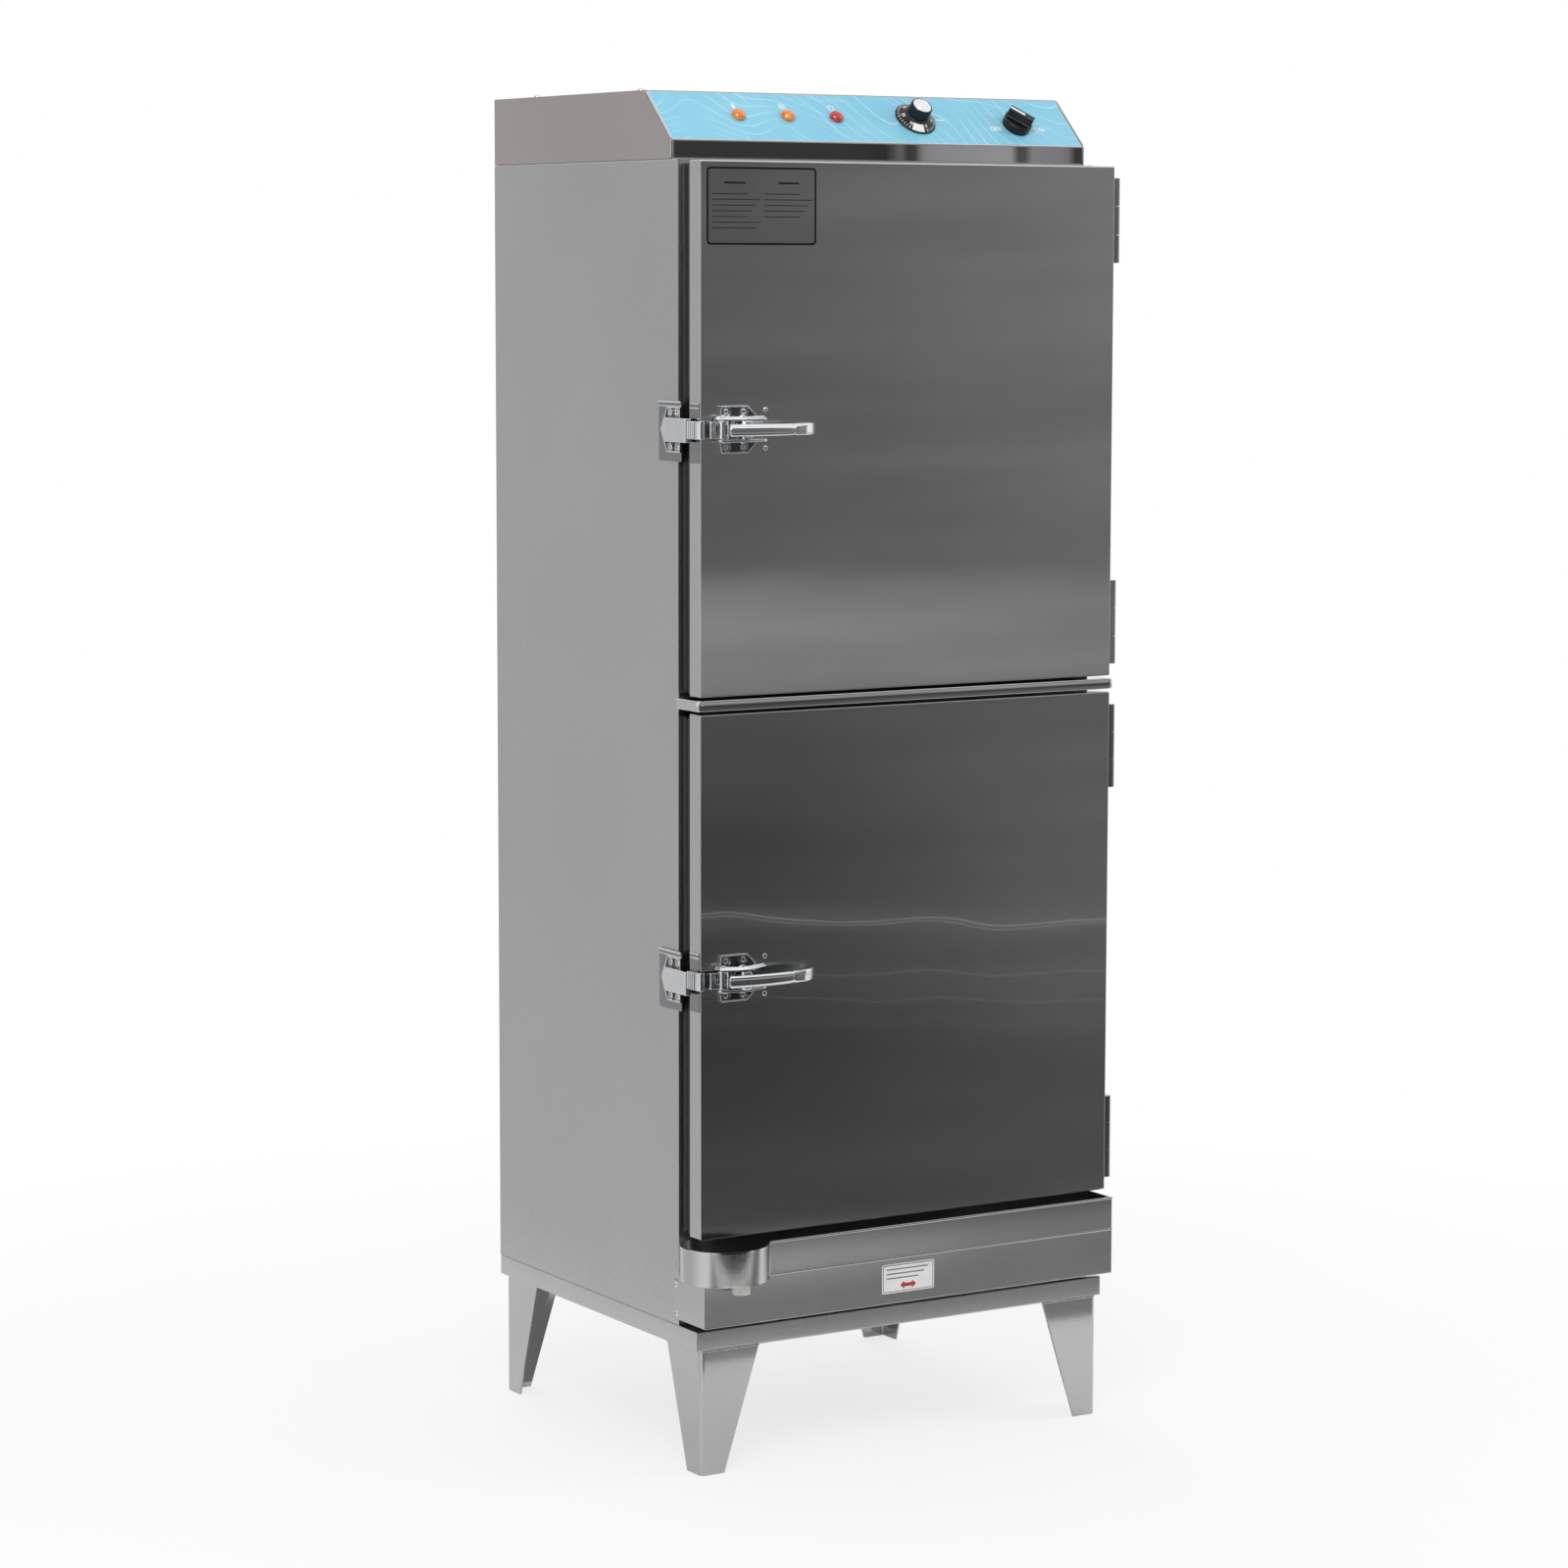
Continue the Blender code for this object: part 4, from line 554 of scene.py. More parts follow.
def graduation_tree():
    """Ticks round a cone, every fifth one longer."""
    tree, given = new_tree("graduations", Count="Int", Step="Float", Radius="Float", Height="Float",
                           Slope="Float", Length="Float", Width="Float", Finish="Material")
    index = add(tree, "GeometryNodeInputIndex")
    turn = add(tree, "ShaderNodeMath", (index, given["Step"]), operation="MULTIPLY")
    sides = [add(tree, "ShaderNodeMath", (turn,), operation=side) for side in ("COSINE", "SINE")]
    x, y = [add(tree, "ShaderNodeMath", (side, given["Radius"]), operation="MULTIPLY") for side in sides]
    place = add(tree, "ShaderNodeCombineXYZ", (x, y, given["Height"]))
    dots = add(tree, "GeometryNodePoints", {"Count": given["Count"], "Position": place})
    fifth = add(tree, "ShaderNodeMath", (index, 5.0), operation="MODULO")
    long = add(tree, "ShaderNodeMath", (fifth, 0.5), operation="LESS_THAN")
    reach = add(tree, "ShaderNodeMapRange", (long, 0.0, 1.0, 0.55, 1.0))
    scale = add(tree, "ShaderNodeCombineXYZ", (reach, 1.0, 1.0))
    lean = add(tree, "ShaderNodeCombineXYZ", {"Y": given["Slope"], "Z": turn})
    facing = add(tree, "FunctionNodeEulerToRotation", (lean,))
    size = add(tree, "ShaderNodeCombineXYZ", (given["Length"], given["Width"], 0.2))
    tick = add(tree, "GeometryNodeMeshCube", {"Size": size})
    ticks = add(tree, "GeometryNodeInstanceOnPoints", {
        "Points": dots, "Instance": tick, "Rotation": facing, "Scale": scale})
    return end_tree(tree, ticks, given["Finish"])


def grown(tree, points, lines=(), **inputs):
    """The plain mesh that a tree makes on points of (place, out, size)."""
    mesh = bpy.data.meshes.new("points")
    mesh.from_pydata([place for place, _, _ in points], lines, [])
    mesh.attributes.new("out", "FLOAT_VECTOR", "POINT")
    mesh.attributes.new("size", "FLOAT", "POINT")
    for n, (_, way, width) in enumerate(points):
        mesh.attributes["out"].data[n].vector = way
        mesh.attributes["size"].data[n].value = width
    obj = linked("points", mesh)
    step = obj.modifiers.new("nodes", "NODES")
    step.node_group = tree
    for socket in tree.interface.items_tree:
        if socket.in_out == "INPUT" and socket.name in inputs:
            step[socket.identifier] = inputs[socket.name]
    result = baked(obj)
    bpy.data.meshes.remove(mesh)
    return result


# Casing, base and doors

def build_casing():
    """The finish of every node, then the nodes that are drawn anew with rounded edges, and the latches."""
    for node, obj in frame["nodes"].items():
        obj.material_slots[0].material = FINISH_OF_SLOT[SLOT_OF[node]]
    for node in ("chamber_liner", "steam_baffle", "chamber_divider", "lower_shelf", "upper_shelf",
                 "water_tank", "front_frame"):
        frame["nodes"][node].material_slots[0].material = INNER_STEEL
    dress("base_frame", FOLD_STEEL, 1.5)
    dress("kick_panel", FOLD_STEEL, 1.4)
    dress("drip_gutter", FOLD_STEEL, 1.2, 0.35)
    dress("drain_spout", PALE, 0.9)
    dress("head_cover", HEAD_STEEL, 1.4)
    dress("control_panel", MIRROR, 1.2)
    dress("middle_rail", MIRROR, 1.9)
    for end in ("front", "rear"):
        for hand in ("left", "right"):
            dress(f"leg_{end}_{hand}", LEG_STEEL, 0.5)
    for door in ("lower", "upper"):
        dress(f"{door}_door_skin", DOOR_STEEL)
        dress(f"{door}_door_gasket", RUBBER, angle=60)
        dress(f"{door}_door_liner", INNER_STEEL)
        for end in ("bottom", "top"):
            dress(f"{door}_{end}_hinge_body_leaf", HINGE, 0.4)
            dress(f"{door}_{end}_hinge_door_leaf", HINGE, 0.3)
        build_latch(door, LATCHES[door])
    dress("heating_element", SHEATH, angle=60)
    dress("power_inlet", BLACK, 1.0)
    outline = [(-y, z) for y, z in ((17.8, 1446.9), (72.3, 1498.4), (101.5, 1498.4), (46, 1446.4))]
    piece("head_side_flange", plate(outline, 0.02, 0.5), LEFT, HEAD_STEEL, "cabinet")
    build_hems()
    inlet = sum(box_of("power_inlet"), Vector((0, 0, 0))) / 2
    spots = [(inlet.x + x, inlet.z + z) for x, z in ((-7, -2.35), (0, 2.75), (7, -2.35))]
    blades = [plate(rounded(x - 1, x + 1, z - 3.2, z + 3.2, 0.4), -413, -394) for x, z in spots]
    piece("inlet_blades", blades, FRONT, POLISHED, "cabinet")


def build_hems():
    """Rolled edges that the solids leave out, on the gutter, kick panel, sides and slope, and black strips of
    painted shade in the gaps above and below the rail.
    """
    rolls = [bead((72, GUTTER_FACE, z), (534.4, GUTTER_FACE, z), 1.4) for z in (GUTTER_FOOT, GUTTER_RIM)]
    rolls.append(bead((71.6, GUTTER_FACE - 0.1, GUTTER_FOOT), (71.6, GUTTER_FACE - 0.1, GUTTER_RIM), 1.2))
    rolls.append(plate(stroke(arc(CUP_CENTRE, CUP_RADIUS, -21, -180, 40), 2.4), 256.4, 258.4))
    rolls.append(plate(stroke(arc(CUP_CENTRE, CUP_RADIUS, -24, -180, 40), 1.6), 219.6, 221))
    rolls = [widened(roll) for roll in rolls]
    rolls.append(bead((-0.8, 0.2 - KICK_FACE, 169.2), (WIDTH + 0.8, 0.2 - KICK_FACE, 169.2), 0.9))
    rolls += [bead((x, 0.6, 1424.5), (x, DEPTH - 0.6, 1424.5), 0.8) for x in (0.1, WIDTH - 0.1)]
    rolls.append(bead((2, 17, 1427), (2, 17, 1445.8), 1.9))
    piece("rolled_hems", rolls, CABINET, POLISHED, "cabinet", angle=60)
    sleeve = plate(stroke(arc(CUP_CENTRE, CUP_RADIUS + 0.2, -24, -180, 60), 0.5), 220.4, 256.6)
    piece("cup_sleeve", widened(sleeve), CABINET, CUP_STEEL, "cabinet", angle=60)
    # Black strips in the gaps above and below the rail: painted shade
    gap_shade_strips = [plate(rounded(1.5, WIDTH - 1.5, low, high, 0.5), 0.02, 0.2) for low, high in RAIL_GAP_SHADES]
    piece("rail_gap_shade_strips", gap_shade_strips, FRONT, RUBBER, "cabinet")
    frame_rolls = [bead((2, 0.2, -0.3), (WIDTH - 2, 0.2, -0.3), 1.2)]
    frame_rolls += [plate(rounded(x, x + wide, 1, 74, 0.4), 0.1, OVERLAY_FACE + 0.5) for x, wide in
                    ((0.3, 3), (536.6, 1.1))]
    piece("panel_frame", frame_rolls, PANEL, POLISHED, "cabinet", angle=60)


# Latches, die cast and chrome plated: plan shapes are (x, reach out from the door), fronts are (x, z)

def level_of(outline, z):
    """A plan shape at a height."""
    return [(x, -DOOR_FACE - reach, z) for x, reach in outline]


def risen(outline, middle, half):
    """A plan shape as a solid with soft edges, as far above a height as below it."""
    return eased(loft([level_of(outline, middle - half), level_of(outline, middle + half)]), 0.6)


def build_latch(door, middle):
    """One latch, of which the tongue reaches from the door to the strike on the left side."""
    build_strike(door, middle - CATCH_DROP[door])
    build_edge_plate(door, middle - 2.7)
    build_base(door, middle)
    build_handle(door, middle)
    build_tongue(door, middle)


def build_strike(door, catch):
    """Backing plate with a rolled top, its colour darkened as painted shade, pointed keeper with pockets of
    painted shade, and its block.
    """
    level = catch - 1.7
    back = plate(rounded(-38, 10, level - 32.5, level + 32.5, 2), 0.3, 2.3)
    piece(f"{door}_strike_backing", eased(back, 0.5), LEFT, SHADED_PLATE_STEEL, "cabinet",
          [f"{door}_latch_strike"])
    rim = [(11, 24.5), (-17, 24.5), (-30, 0), (-17, -24.5), (11, -24.5)]
    inner = [(9.4, 22.9), (-16, 22.9), (-28.2, 0), (-16, -22.9), (9.4, -22.9)]
    rim, inner = [[(x, catch + z) for x, z in loop] for loop in (rim, inner)]
    parts = [eased(plate(rim, 1.3, 4.9, [inner]), 0.5)]
    parts += [eased(plate(rounded(-37.5, 9.8, level + z, level + z + tall, 0.5), 2, 2.3 + proud), 0.3)
              for z, tall, proud in ((30, 2.4, 1.2), (26, 1.3, 0.6))]
    spots = [(x, catch + STRIKE_SCREW * sign) for x in (4.5, -10) for sign in (-1, 1)]
    parts += [plate(arc(spot, 4.5, 0, 345, 23), 2.5, 4.4, [arc(spot, 3.5, 0, 345, 23)]) for spot in spots]
    block = [(34, 13), (-12.5, 13), (-18.5, 0), (-12.5, -13), (34, -13)]
    parts.append(eased(plate([(x, catch + z) for x, z in block], 3.3, 11.3), 1.5))
    pit = turned([(0, 0.05), (0.6, 0.05), (1.1, 0.4), (1.6, 0.3), (1.8, -0.3), (0, -0.3)], 20)
    parts.append(placed(pit, Matrix.Translation((8, catch, 11.3))))
    piece(f"{door}_strike_keeper", parts, LEFT, CHROME, "cabinet", angle=50)
    # The keeper's pocket floors: painted shade
    piece(f"{door}_strike_pocket_shade", plate(inner, 1.3, 3), LEFT, RECESS_SHADE, "cabinet")


def build_edge_plate(door, level):
    """The wear plate on the door's edge, its colour darkened as painted shade, with two ribs."""
    wear = plate(rounded(25.6, 45.4, level - 33.2, level + 31.5, 0.8), 0.02, 0.5)
    piece(f"{door}_edge_plate", wear, LEFT, SHADED_PLATE_STEEL, f"{door}_door")
    lines = [plate(rounded(25.8, 45.2, level + z, level + z + 1.6, 0.5), 0.3, 1.1) for z in (29.6, 24.8)]
    piece(f"{door}_edge_plate_ribs", lines, LEFT, CHROME, f"{door}_door")


def build_base(door, middle):
    """Ears with rims, pockets darkened with painted shade and bosses, a web, and two cheeks, the upper one with a
    wide chamfer.
    """
    parts, pockets = [plate(rounded(18, 76, middle - 13, middle + 13, 1), 0.3, 2.8)], []
    for sign in (-1, 1):
        ear = [(21.6, 12.8), (24, 25.5), (57, 25.5), (69.7, 12.8)]
        pocket = [(23.8, 14.3), (25.6, 23.8), (56.3, 23.8), (65.8, 14.3)]
        ear, pocket = [[(x, middle + sign * z) for x, z in loop] for loop in (ear, pocket)]
        parts.append(eased(plate(ear, 0.3, 3.6, [pocket]), 0.8))
        pockets.append(plate(pocket, 0.3, 1.3))
        spots = [(x, middle + BASE_SCREW * sign) for x in BASE_SCREWS_AT]
        parts += [plate(arc(spot, 5.2, 0, 345, 23), 0.4, 3.3, [arc(spot, 4.0, 0, 345, 23)]) for spot in spots]
    skin = FRONT @ Matrix.Translation((0, 0, DOOR_FACE))
    piece(f"{door}_base_plate", parts, skin, CHROME, f"{door}_door", [f"{door}_latch_base"], 50)
    # The pockets' floors: painted shade
    piece(f"{door}_base_pocket_shade", pockets, skin, RECESS_SHADE, f"{door}_door")
    wide = [(76, 1.5), (15.5, 1.5), (15.5, 10.1), (17.4, 14.5), (34.5, 22), (49.5, 22), (76, 11)]
    narrow = [(73.5, 1.5), (18.3, 1.5), (18.3, 8.6), (20, 12), (35.4, 18.8), (48.8, 18.8), (73.5, 8.4)]
    upper = [level_of(loop, middle + z) for loop, z in ((wide, 10), (wide, 11.2), (narrow, 14.4))]
    cheeks = [loft(upper), risen(wide, middle - 11.5, 1.5)]
    piece(f"{door}_base_cheeks", cheeks, CABINET, CHROME, f"{door}_door", angle=30)


def build_handle(door, middle):
    """A bowed lever, convex in front, with a ring groove before its tip, on a barrel-faced neck."""
    ends = [Vector(point) for point in ((26, 30), (61.3, 36), (114.3, 36), (132, 12))]
    steps = [n / 16 for n in range(10)]
    steps += [0.585, 0.595, 0.61, 0.62, 0.66, 0.72, 0.78, 0.84, 0.89, 0.93, 0.97, 1.0]
    spine = [Vector((20.4, 28.9))]
    for t in steps:
        share = ((1 - t) ** 3, 3 * t * (1 - t) ** 2, 3 * t * t * (1 - t), t ** 3)
        spine.append(sum((end * part for end, part in zip(ends, share)), Vector((0, 0))))
    section = [(-4, -5.2), (-2.8, -6.6), (-0.4, -6.9), (1.6, -6.3), (3.1, -4.6), (3.8, -2.4), (4, -0.6),
               (3.5, 1.6), (2.4, 4.2), (0.6, 6.2), (-1.2, 6.9), (-2.8, 6.7), (-4, 5.2)]
    blunt = [(-4, -6.4), (-2.8, -6.9), (-0.4, -7), (1.6, -7), (3.2, -6.7), (3.9, -5.6), (4, -0.6), (4, 3),
             (3.8, 5.8), (2.6, 6.9), (-1.2, 7), (-2.8, 6.9), (-4, 6.4)]
    groove, loops, last = (12, 13), [], len(spine) - 1
    for n, point in enumerate(spine):
        ahead = (spine[min(n + 1, last)] - spine[max(n - 1, 0)]).normalized()
        out = Vector((-ahead.y, ahead.x))
        lean = 0.93 if n in groove else 1.0
        squared = min(max((n - groove[1]) / 4, 0), 1)
        shape = [(o + (p - o) * squared, u + (v - u) * squared) for (o, u), (p, v) in zip(section, blunt)]
        rows = [(0, lean)]
        if n == 0:
            rows = [(-1.0, 0.82)] + rows
        if n == last:
            rows = rows + [(0.6, 0.94)]
        for step, size in rows:
            spot = point + ahead * step
            sides = [(max(o, -1.5) if n == 0 else o, u) for o, u in shape]
            loops.append([(spot.x + out.x * side * size, -DOOR_FACE - spot.y - out.y * side * size,
                           middle + up * size) for side, up in sides])
    neck = [level_of(rounded(34.8 + cut, 49.2 - cut, 9, 30 - cut, 3), middle + z) for z, cut in
            ((-9.7, 1.8), (-7.5, 0.7), (-4, 0.2), (0, 0), (4, 0.2), (7.5, 0.7), (9.7, 1.8))]
    piece(f"{door}_handle_lever", [loft(loops), loft(neck)], CABINET, CHROME, f"{door}_handle",
          [f"{door}_latch_handle"], 50)


def build_tongue(door, middle):
    """A ribbed claw with a round corner, a web darkened with painted shade, a link and its hub."""
    claw = [(-4, -12.6), (-10, -12.6)] + arc((-4, 7.1), 6, 180, 90, 6)
    claw += [(-2.5, 13.1), (-2.5, 7.1), (-4, 7.1)]
    parts = [risen(claw, middle, 9.6), risen(arc((-5.2, 9.9), 3.7, 0, 345, 23), middle, 9.7)]
    parts += [risen(arc((-10, reach), 1.3, 0, 330, 11), middle, 9.2) for reach in (-8.5, -4.5, -0.5, 3.5)]
    parts += [risen([(4.5, 7.1), (22, 7.1), (22, 13.1), (6, 13.1), (4.5, 11.6)], middle, 8.8),
              risen(arc((22, 10.1), 6.5, 0, 345, 23), middle, 9.6)]
    piece(f"{door}_tongue_hook", parts, CABINET, CHROME, f"{door}_tongue",
          [f"{door}_latch_tongue"], 50)
    # The web in the notch: painted shade
    web = risen([(-3, 7.1), (5, 7.1), (5, 9), (-3, 9)], middle, 7.5)
    piece(f"{door}_tongue_web_shade", web, CABINET, RECESS_SHADE, f"{door}_tongue")


def build_fixings():
    """Screws, each as (place, the way it faces, half its width), then the beads that weld the legs on."""
    heads = screw_tree()
    left, right, front, back, top, low = ((-1, 0, 0), (1, 0, 0), (0, -1, 0), (0, 1, 0), (0, 0, 1), (0, 0, -1))
    cabinet, doors, pins = [], {"lower": [], "upper": []}, {"lower": [], "upper": []}
    # Head, kick panel, back panel and power inlet
    tops = [((9, y, TOP), top, 4.2) for y in (95, 330)]
    cabinet += [((WIDTH - 9, y, TOP), top, 2.6) for y in (95, 330)]
    kick_low, kick_high = box_of("kick_panel")
    for y, z in ((4, 206.7), (2, 175)):
        cabinet += [((kick_low.x, y, z), left, 3.4), ((kick_high.x, y, z), right, 3.4)]
    for z in (185, 430, 675, 920, 1165, 1402):
        cabinet += [((x, DEPTH, z), back, 3.2) for x in (7, WIDTH - 7)]
    inlet_low, inlet_high = box_of("power_inlet")
    inlet = (inlet_low + inlet_high) / 2
    cabinet += [((inlet.x + side, inlet_high.y, inlet.z), back, 2.4) for side in (-19, 19)]
    # Strikes, latch bases with their pins, and hinges
    for door, middle in LATCHES.items():
        for sign in (-1, 1):
            height = middle - CATCH_DROP[door] + STRIKE_SCREW * sign
            cabinet += [((-3, y, height), left, 3.2) for y in (-4.5, 10)]
            doors[door] += [((x, -48.2, middle + BASE_SCREW * sign), front, 3.6) for x in BASE_SCREWS_AT]
            doors[door].append(((80.5, -DOOR_FACE, middle + 20.5 * sign), front, 2.8))
            height, way = (middle + 14.4, top) if sign > 0 else (middle - 13, low)
            pins[door] += [((x, y, height), way, width) for x, y, width in ((22, -57, 3.4), (42, -63, 3.6))]
        for end in ("bottom", "top"):
            leaf = box_of(f"{door}_{end}_hinge_body_leaf")[0]
            for z in (14, 47, 80):
                cabinet += [((leaf.x + HINGE_LEAF, y, leaf.z + z), right, 3.2) for y in (8, 29)]
    groups = [("cabinet_screws", "cabinet", cabinet, True, 0.5), ("head_screws", "cabinet", tops, True, 0.75)]
    groups += [(f"{door}_door_screws", f"{door}_door", doors[door], True, 0.5) for door in LATCHES]
    groups += [(f"{door}_latch_pin_heads", f"{door}_door", pins[door], False, 0.5) for door in LATCHES]
    for name, body, points, cross, rise in groups:
        spots = [(CABINET @ Vector(place), way, width * MM) for place, way, width in points]
        mesh = grown(heads, spots, Height=rise, Recess=0.24, Cross=cross, Finish=CHROME)
        piece(name, mesh, WORLD, None, body, angle=35)
    # The legs' welds, two along each upper edge
    seams, joints = [], []
    for x, side in ((6, 1), (WIDTH - 6, -1)):
        for y, way in ((-36.9, 1), (411.5, -1)):
            for run in (((x + 4 * side, y), (x + 73 * side, y)), ((x, y + 4 * way), (x, y + 73 * way))):
                joints.append((len(seams), len(seams) + 1))
                seams += [(CABINET @ Vector((a, b, 138.3)), top, 1.0) for a, b in run]
    beads = grown(weld_tree(), seams, joints, Bead=1.5 * MM, Pitch=1.6 * MM, Seed=7, Finish=FOLD_STEEL)
    piece("leg_weld_beads", beads, WORLD, None, "cabinet", angle=80)


# Controls on the slope

def build_controls():
    """Lamps, timer dial and switch, with their marks."""
    dome = [(8 * cos(radians(a)), 3.2 + 4.9 * sin(radians(a))) for a in range(0, 90, 9)]
    profile = [(0, -24), (5.5, -24), (5.5, 1.1), (7.6, 1.1), (8, 1.5)] + dome + [(0, 8.1)]
    for name, x in PILOTS.items():
        node = f"pilot_lamp_{name}"
        slot, place = SLOT_OF[node], PANEL @ Matrix.Translation((x, ROW, 0))
        piece(f"{node}_lens", turned(profile, 48), place, FINISH_OF_SLOT[slot], "cabinet", [node], 50)
    timer = PANEL @ Matrix.Translation((TIMER_X, ROW, 0))
    grip = [(12.5, h) for h in (9.0, 9.4, 12, 15, 18, 20.2)]
    skirt = [(0, 8.3), (3.3, 8.3), (3.3, 1.1), (23.4, 1.1), (24, 1.6), (24, 2.4), (23.4, 2.9), (14.4, 7.9),
             (13.2, 8.2), (12.5, 8.6)]
    crown = [(12.5, 20.8), (12.1, 21.6), (11.2, 22.0), (10.7, 21.6), (0, 21.6)]
    knob = turned(skirt + grip + crown, 192, 32, 0.55, (8.8, 20.5))
    piece("timer_knob_moulding", knob, timer, BLACK, "timer", ["timer_knob"], 50)
    cap = turned([(0, 21.55), (10.5, 21.55), (10.5, 22.0), (10.0, 22.35), (8.2, 22.35), (7.9, 22.1),
                  (7.3, 22.1), (7.0, 22.4), (0, 22.55)], 64)
    piece("timer_cap_disc", cap, timer, SPUN, "timer", angle=30)
    # The dial's marks lie on the skirt's cone, from 0 at the start angle, one tick every 10 degrees
    rise, run, start = 5, 9, -75
    tilt = atan2(rise, run)
    ticks = grown(graduation_tree(), [((0, 0, 0), (0, 0, 1), 1.0)], Count=31, Step=radians(10),
                  Radius=21.4, Height=4.05, Slope=tilt, Length=3.4, Width=0.75, Finish=WHITE_INK)
    zero = timer @ Matrix.Rotation(radians(start), 4, "Z")
    piece("timer_graduations", ticks, zero, None, "timer")
    numbers = []
    for n, figure in enumerate(("0", "10", "20", "30", "40", "50", "60")):
        turn = Matrix.Rotation(radians(start + 50 * n), 4, "Z")
        lie = Matrix(((0, -cos(tilt), sin(tilt)), (1, 0, 0), (0, sin(tilt), cos(tilt))))
        numbers.append(placed(lettering(figure, 5.2), turn, Matrix.Translation((17.2, 0, 6.4)), lie.to_4x4()))
    piece("timer_numbers", numbers, timer, WHITE_INK, "timer")
    # A bright spun-aluminium sector on the skirt's front, laid only where the skirt shows its highlight: a painted
    # highlight
    foil = []
    for angle in range(-127, -82, 5):
        side = Vector((cos(radians(angle)), sin(radians(angle)), 0))
        foil.append([side * r + Vector((0, 0, 2.9 + (23.4 - r) * rise / run + lift))
                     for r, lift in ((22.8, 0.02), (15.4, 0.02), (15.4, 0.16), (22.8, 0.16))])
    piece("timer_highlight_sector", loft(foil), timer, SPUN, "timer")
    switch = PANEL @ Matrix.Translation((SWITCH_X, SWITCH_ROW, 0))
    piece("switch_knob_moulding", softened("switch_knob", 0.9), WORLD, BLACK, "switch",
          ["switch_knob"])
    line = plate(rounded(-1.6, 1.6, -3.5, 14.4, 0.5), 20.08, 20.25)
    line = placed(line, Matrix.Rotation(radians(45), 4, "Z"))
    piece("switch_pointer_line", line, switch, WHITE_INK, "switch")
    build_prints()


def build_prints():
    """Plain signs on the film, a bare framed plate on the upper door and a sign on the kick panel."""
    # Drop, steam and power above the lamps, a line beside the dial, and the switch's two words
    ink = (OVERLAY_FACE + 0.01, OVERLAY_FACE + 0.1)
    water, steam, power = PILOTS.values()
    signs = []
    drop = [(3.1 * sin(t) * sin(t / 2) ** 1.4, 4.6 * cos(t)) for t in [2 * pi * n / 28 for n in range(28)]]
    signs.append(placed(plate(drop, *ink), Matrix.Translation((water, 55, 0))))
    for x in (-3, 0, 3):
        wave = [(steam + x + 0.8 * sin(n * 0.7), 51 + n * 0.9) for n in range(10)]
        signs.append(plate(stroke(wave, 1.1), *ink))
    signs.append(plate(stroke(arc((power, 54.6), 3.7, 125, 415, 24), 1.1), *ink))
    signs.append(plate(rounded(power - 0.55, power + 0.55, 54.6, 59.4, 0.3), *ink))
    signs.append(plate(rounded(TIMER_X + 27.5, TIMER_X + 38.5, ROW - 0.7, ROW + 0.7, 0.5), *ink))
    for words, x in (("OFF", 430.6), ("ON", 489)):
        signs.append(placed(lettering(words, 9), Matrix.Translation((x, 26, ink[0]))))
    piece("panel_signs", signs, PANEL, WHITE_INK, "cabinet")
    # The bare plate, with rules and two bars
    ink = (DOOR_FACE + 0.05, DOOR_FACE + 0.16)
    inner = rounded(9.7, 141.4, 1336.9, 1414.4, 3.0)
    frame_line = plate(rounded(7.4, 143.7, 1334.6, 1416.7, 5), *ink, [inner])
    rules = [plate(rounded(x, x + 44 + 5 * (n * 3 % 4), 1388 - 6 * n, 1388.8 - 6 * n, 0.3), *ink)
             for x, count in ((14, 7), (79, 5)) for n in range(count)]
    rules += [plate(rounded(x, x + 26, 1399, 1401, 0.6), *ink) for x in (29, 96)]
    piece("blank_plate_frame", [frame_line, *rules], FRONT, DARK_INK, "upper_door")
    foil = plate(rounded(7.6, 143.5, 1334.8, 1416.5, 4.9), DOOR_FACE + 0.01, DOOR_FACE + 0.08)
    piece("blank_plate", foil, FRONT, TINTED, "upper_door")
    # The kick panel's sign
    label = plate(rounded(227, 296, 180, 213, 2), KICK_FACE + 0.02, KICK_FACE + 0.12)
    piece("kick_sticker", label, FRONT, VINYL, "cabinet")
    ink = (KICK_FACE + 0.1, KICK_FACE + 0.18)
    border = plate(rounded(228.4, 294.6, 181.4, 211.6, 1.4), *ink, [rounded(229, 294, 182, 211, 1.0)])
    piece("kick_sticker_border", border, FRONT, DARK_INK, "cabinet")
    bars = [plate(rounded(233, 233 + length, z, z + 1.5, 0.4), *ink) for length, z in
            ((55, 206), (50, 201), (42, 196))]
    piece("kick_sticker_bars", bars, FRONT, GREY_INK, "cabinet")
    arrow = [(251, 188), (256.5, 183.4), (256.5, 186), (266.5, 186), (266.5, 183.4), (272, 188),
             (266.5, 192.6), (266.5, 190), (256.5, 190), (256.5, 192.6)]
    piece("kick_sticker_arrow", plate(arrow, *ink), FRONT, RED_INK, "cabinet")


# Studio

# What the fronts mirror: height up the card in m, and the radiance there at the left and at the right
GLOW = ((0.0, 0.30, 0.30), (0.045, 0.20, 0.21), (0.098, 0.19, 0.22), (0.106, 0.74, 0.4), (0.139, 0.74, 0.4),
        (0.144, 0.0, 0.04), (0.165, 0.02, 0.07), (0.2, 0.06, 0.103), (0.25, 0.07, 0.113),
        (0.38, 0.042, 0.148), (0.52, 0.066, 0.178), (0.62, 0.05, 0.178), (0.73, 0.092, 0.162),
        (0.778, 0.10, 0.16), (0.786, 0.06, 0.08), (0.801, 0.06, 0.08), (0.807, 0.37, 0.345),
        (0.85, 0.335, 0.33), (0.895, 0.41, 0.30), (0.93, 0.33, 0.215), (0.955, 0.135, 0.185),
        (1.03, 0.155, 0.258), (1.13, 0.155, 0.24), (1.20, 0.15, 0.262), (1.29, 0.168, 0.25),
        (1.437, 0.16, 0.305))

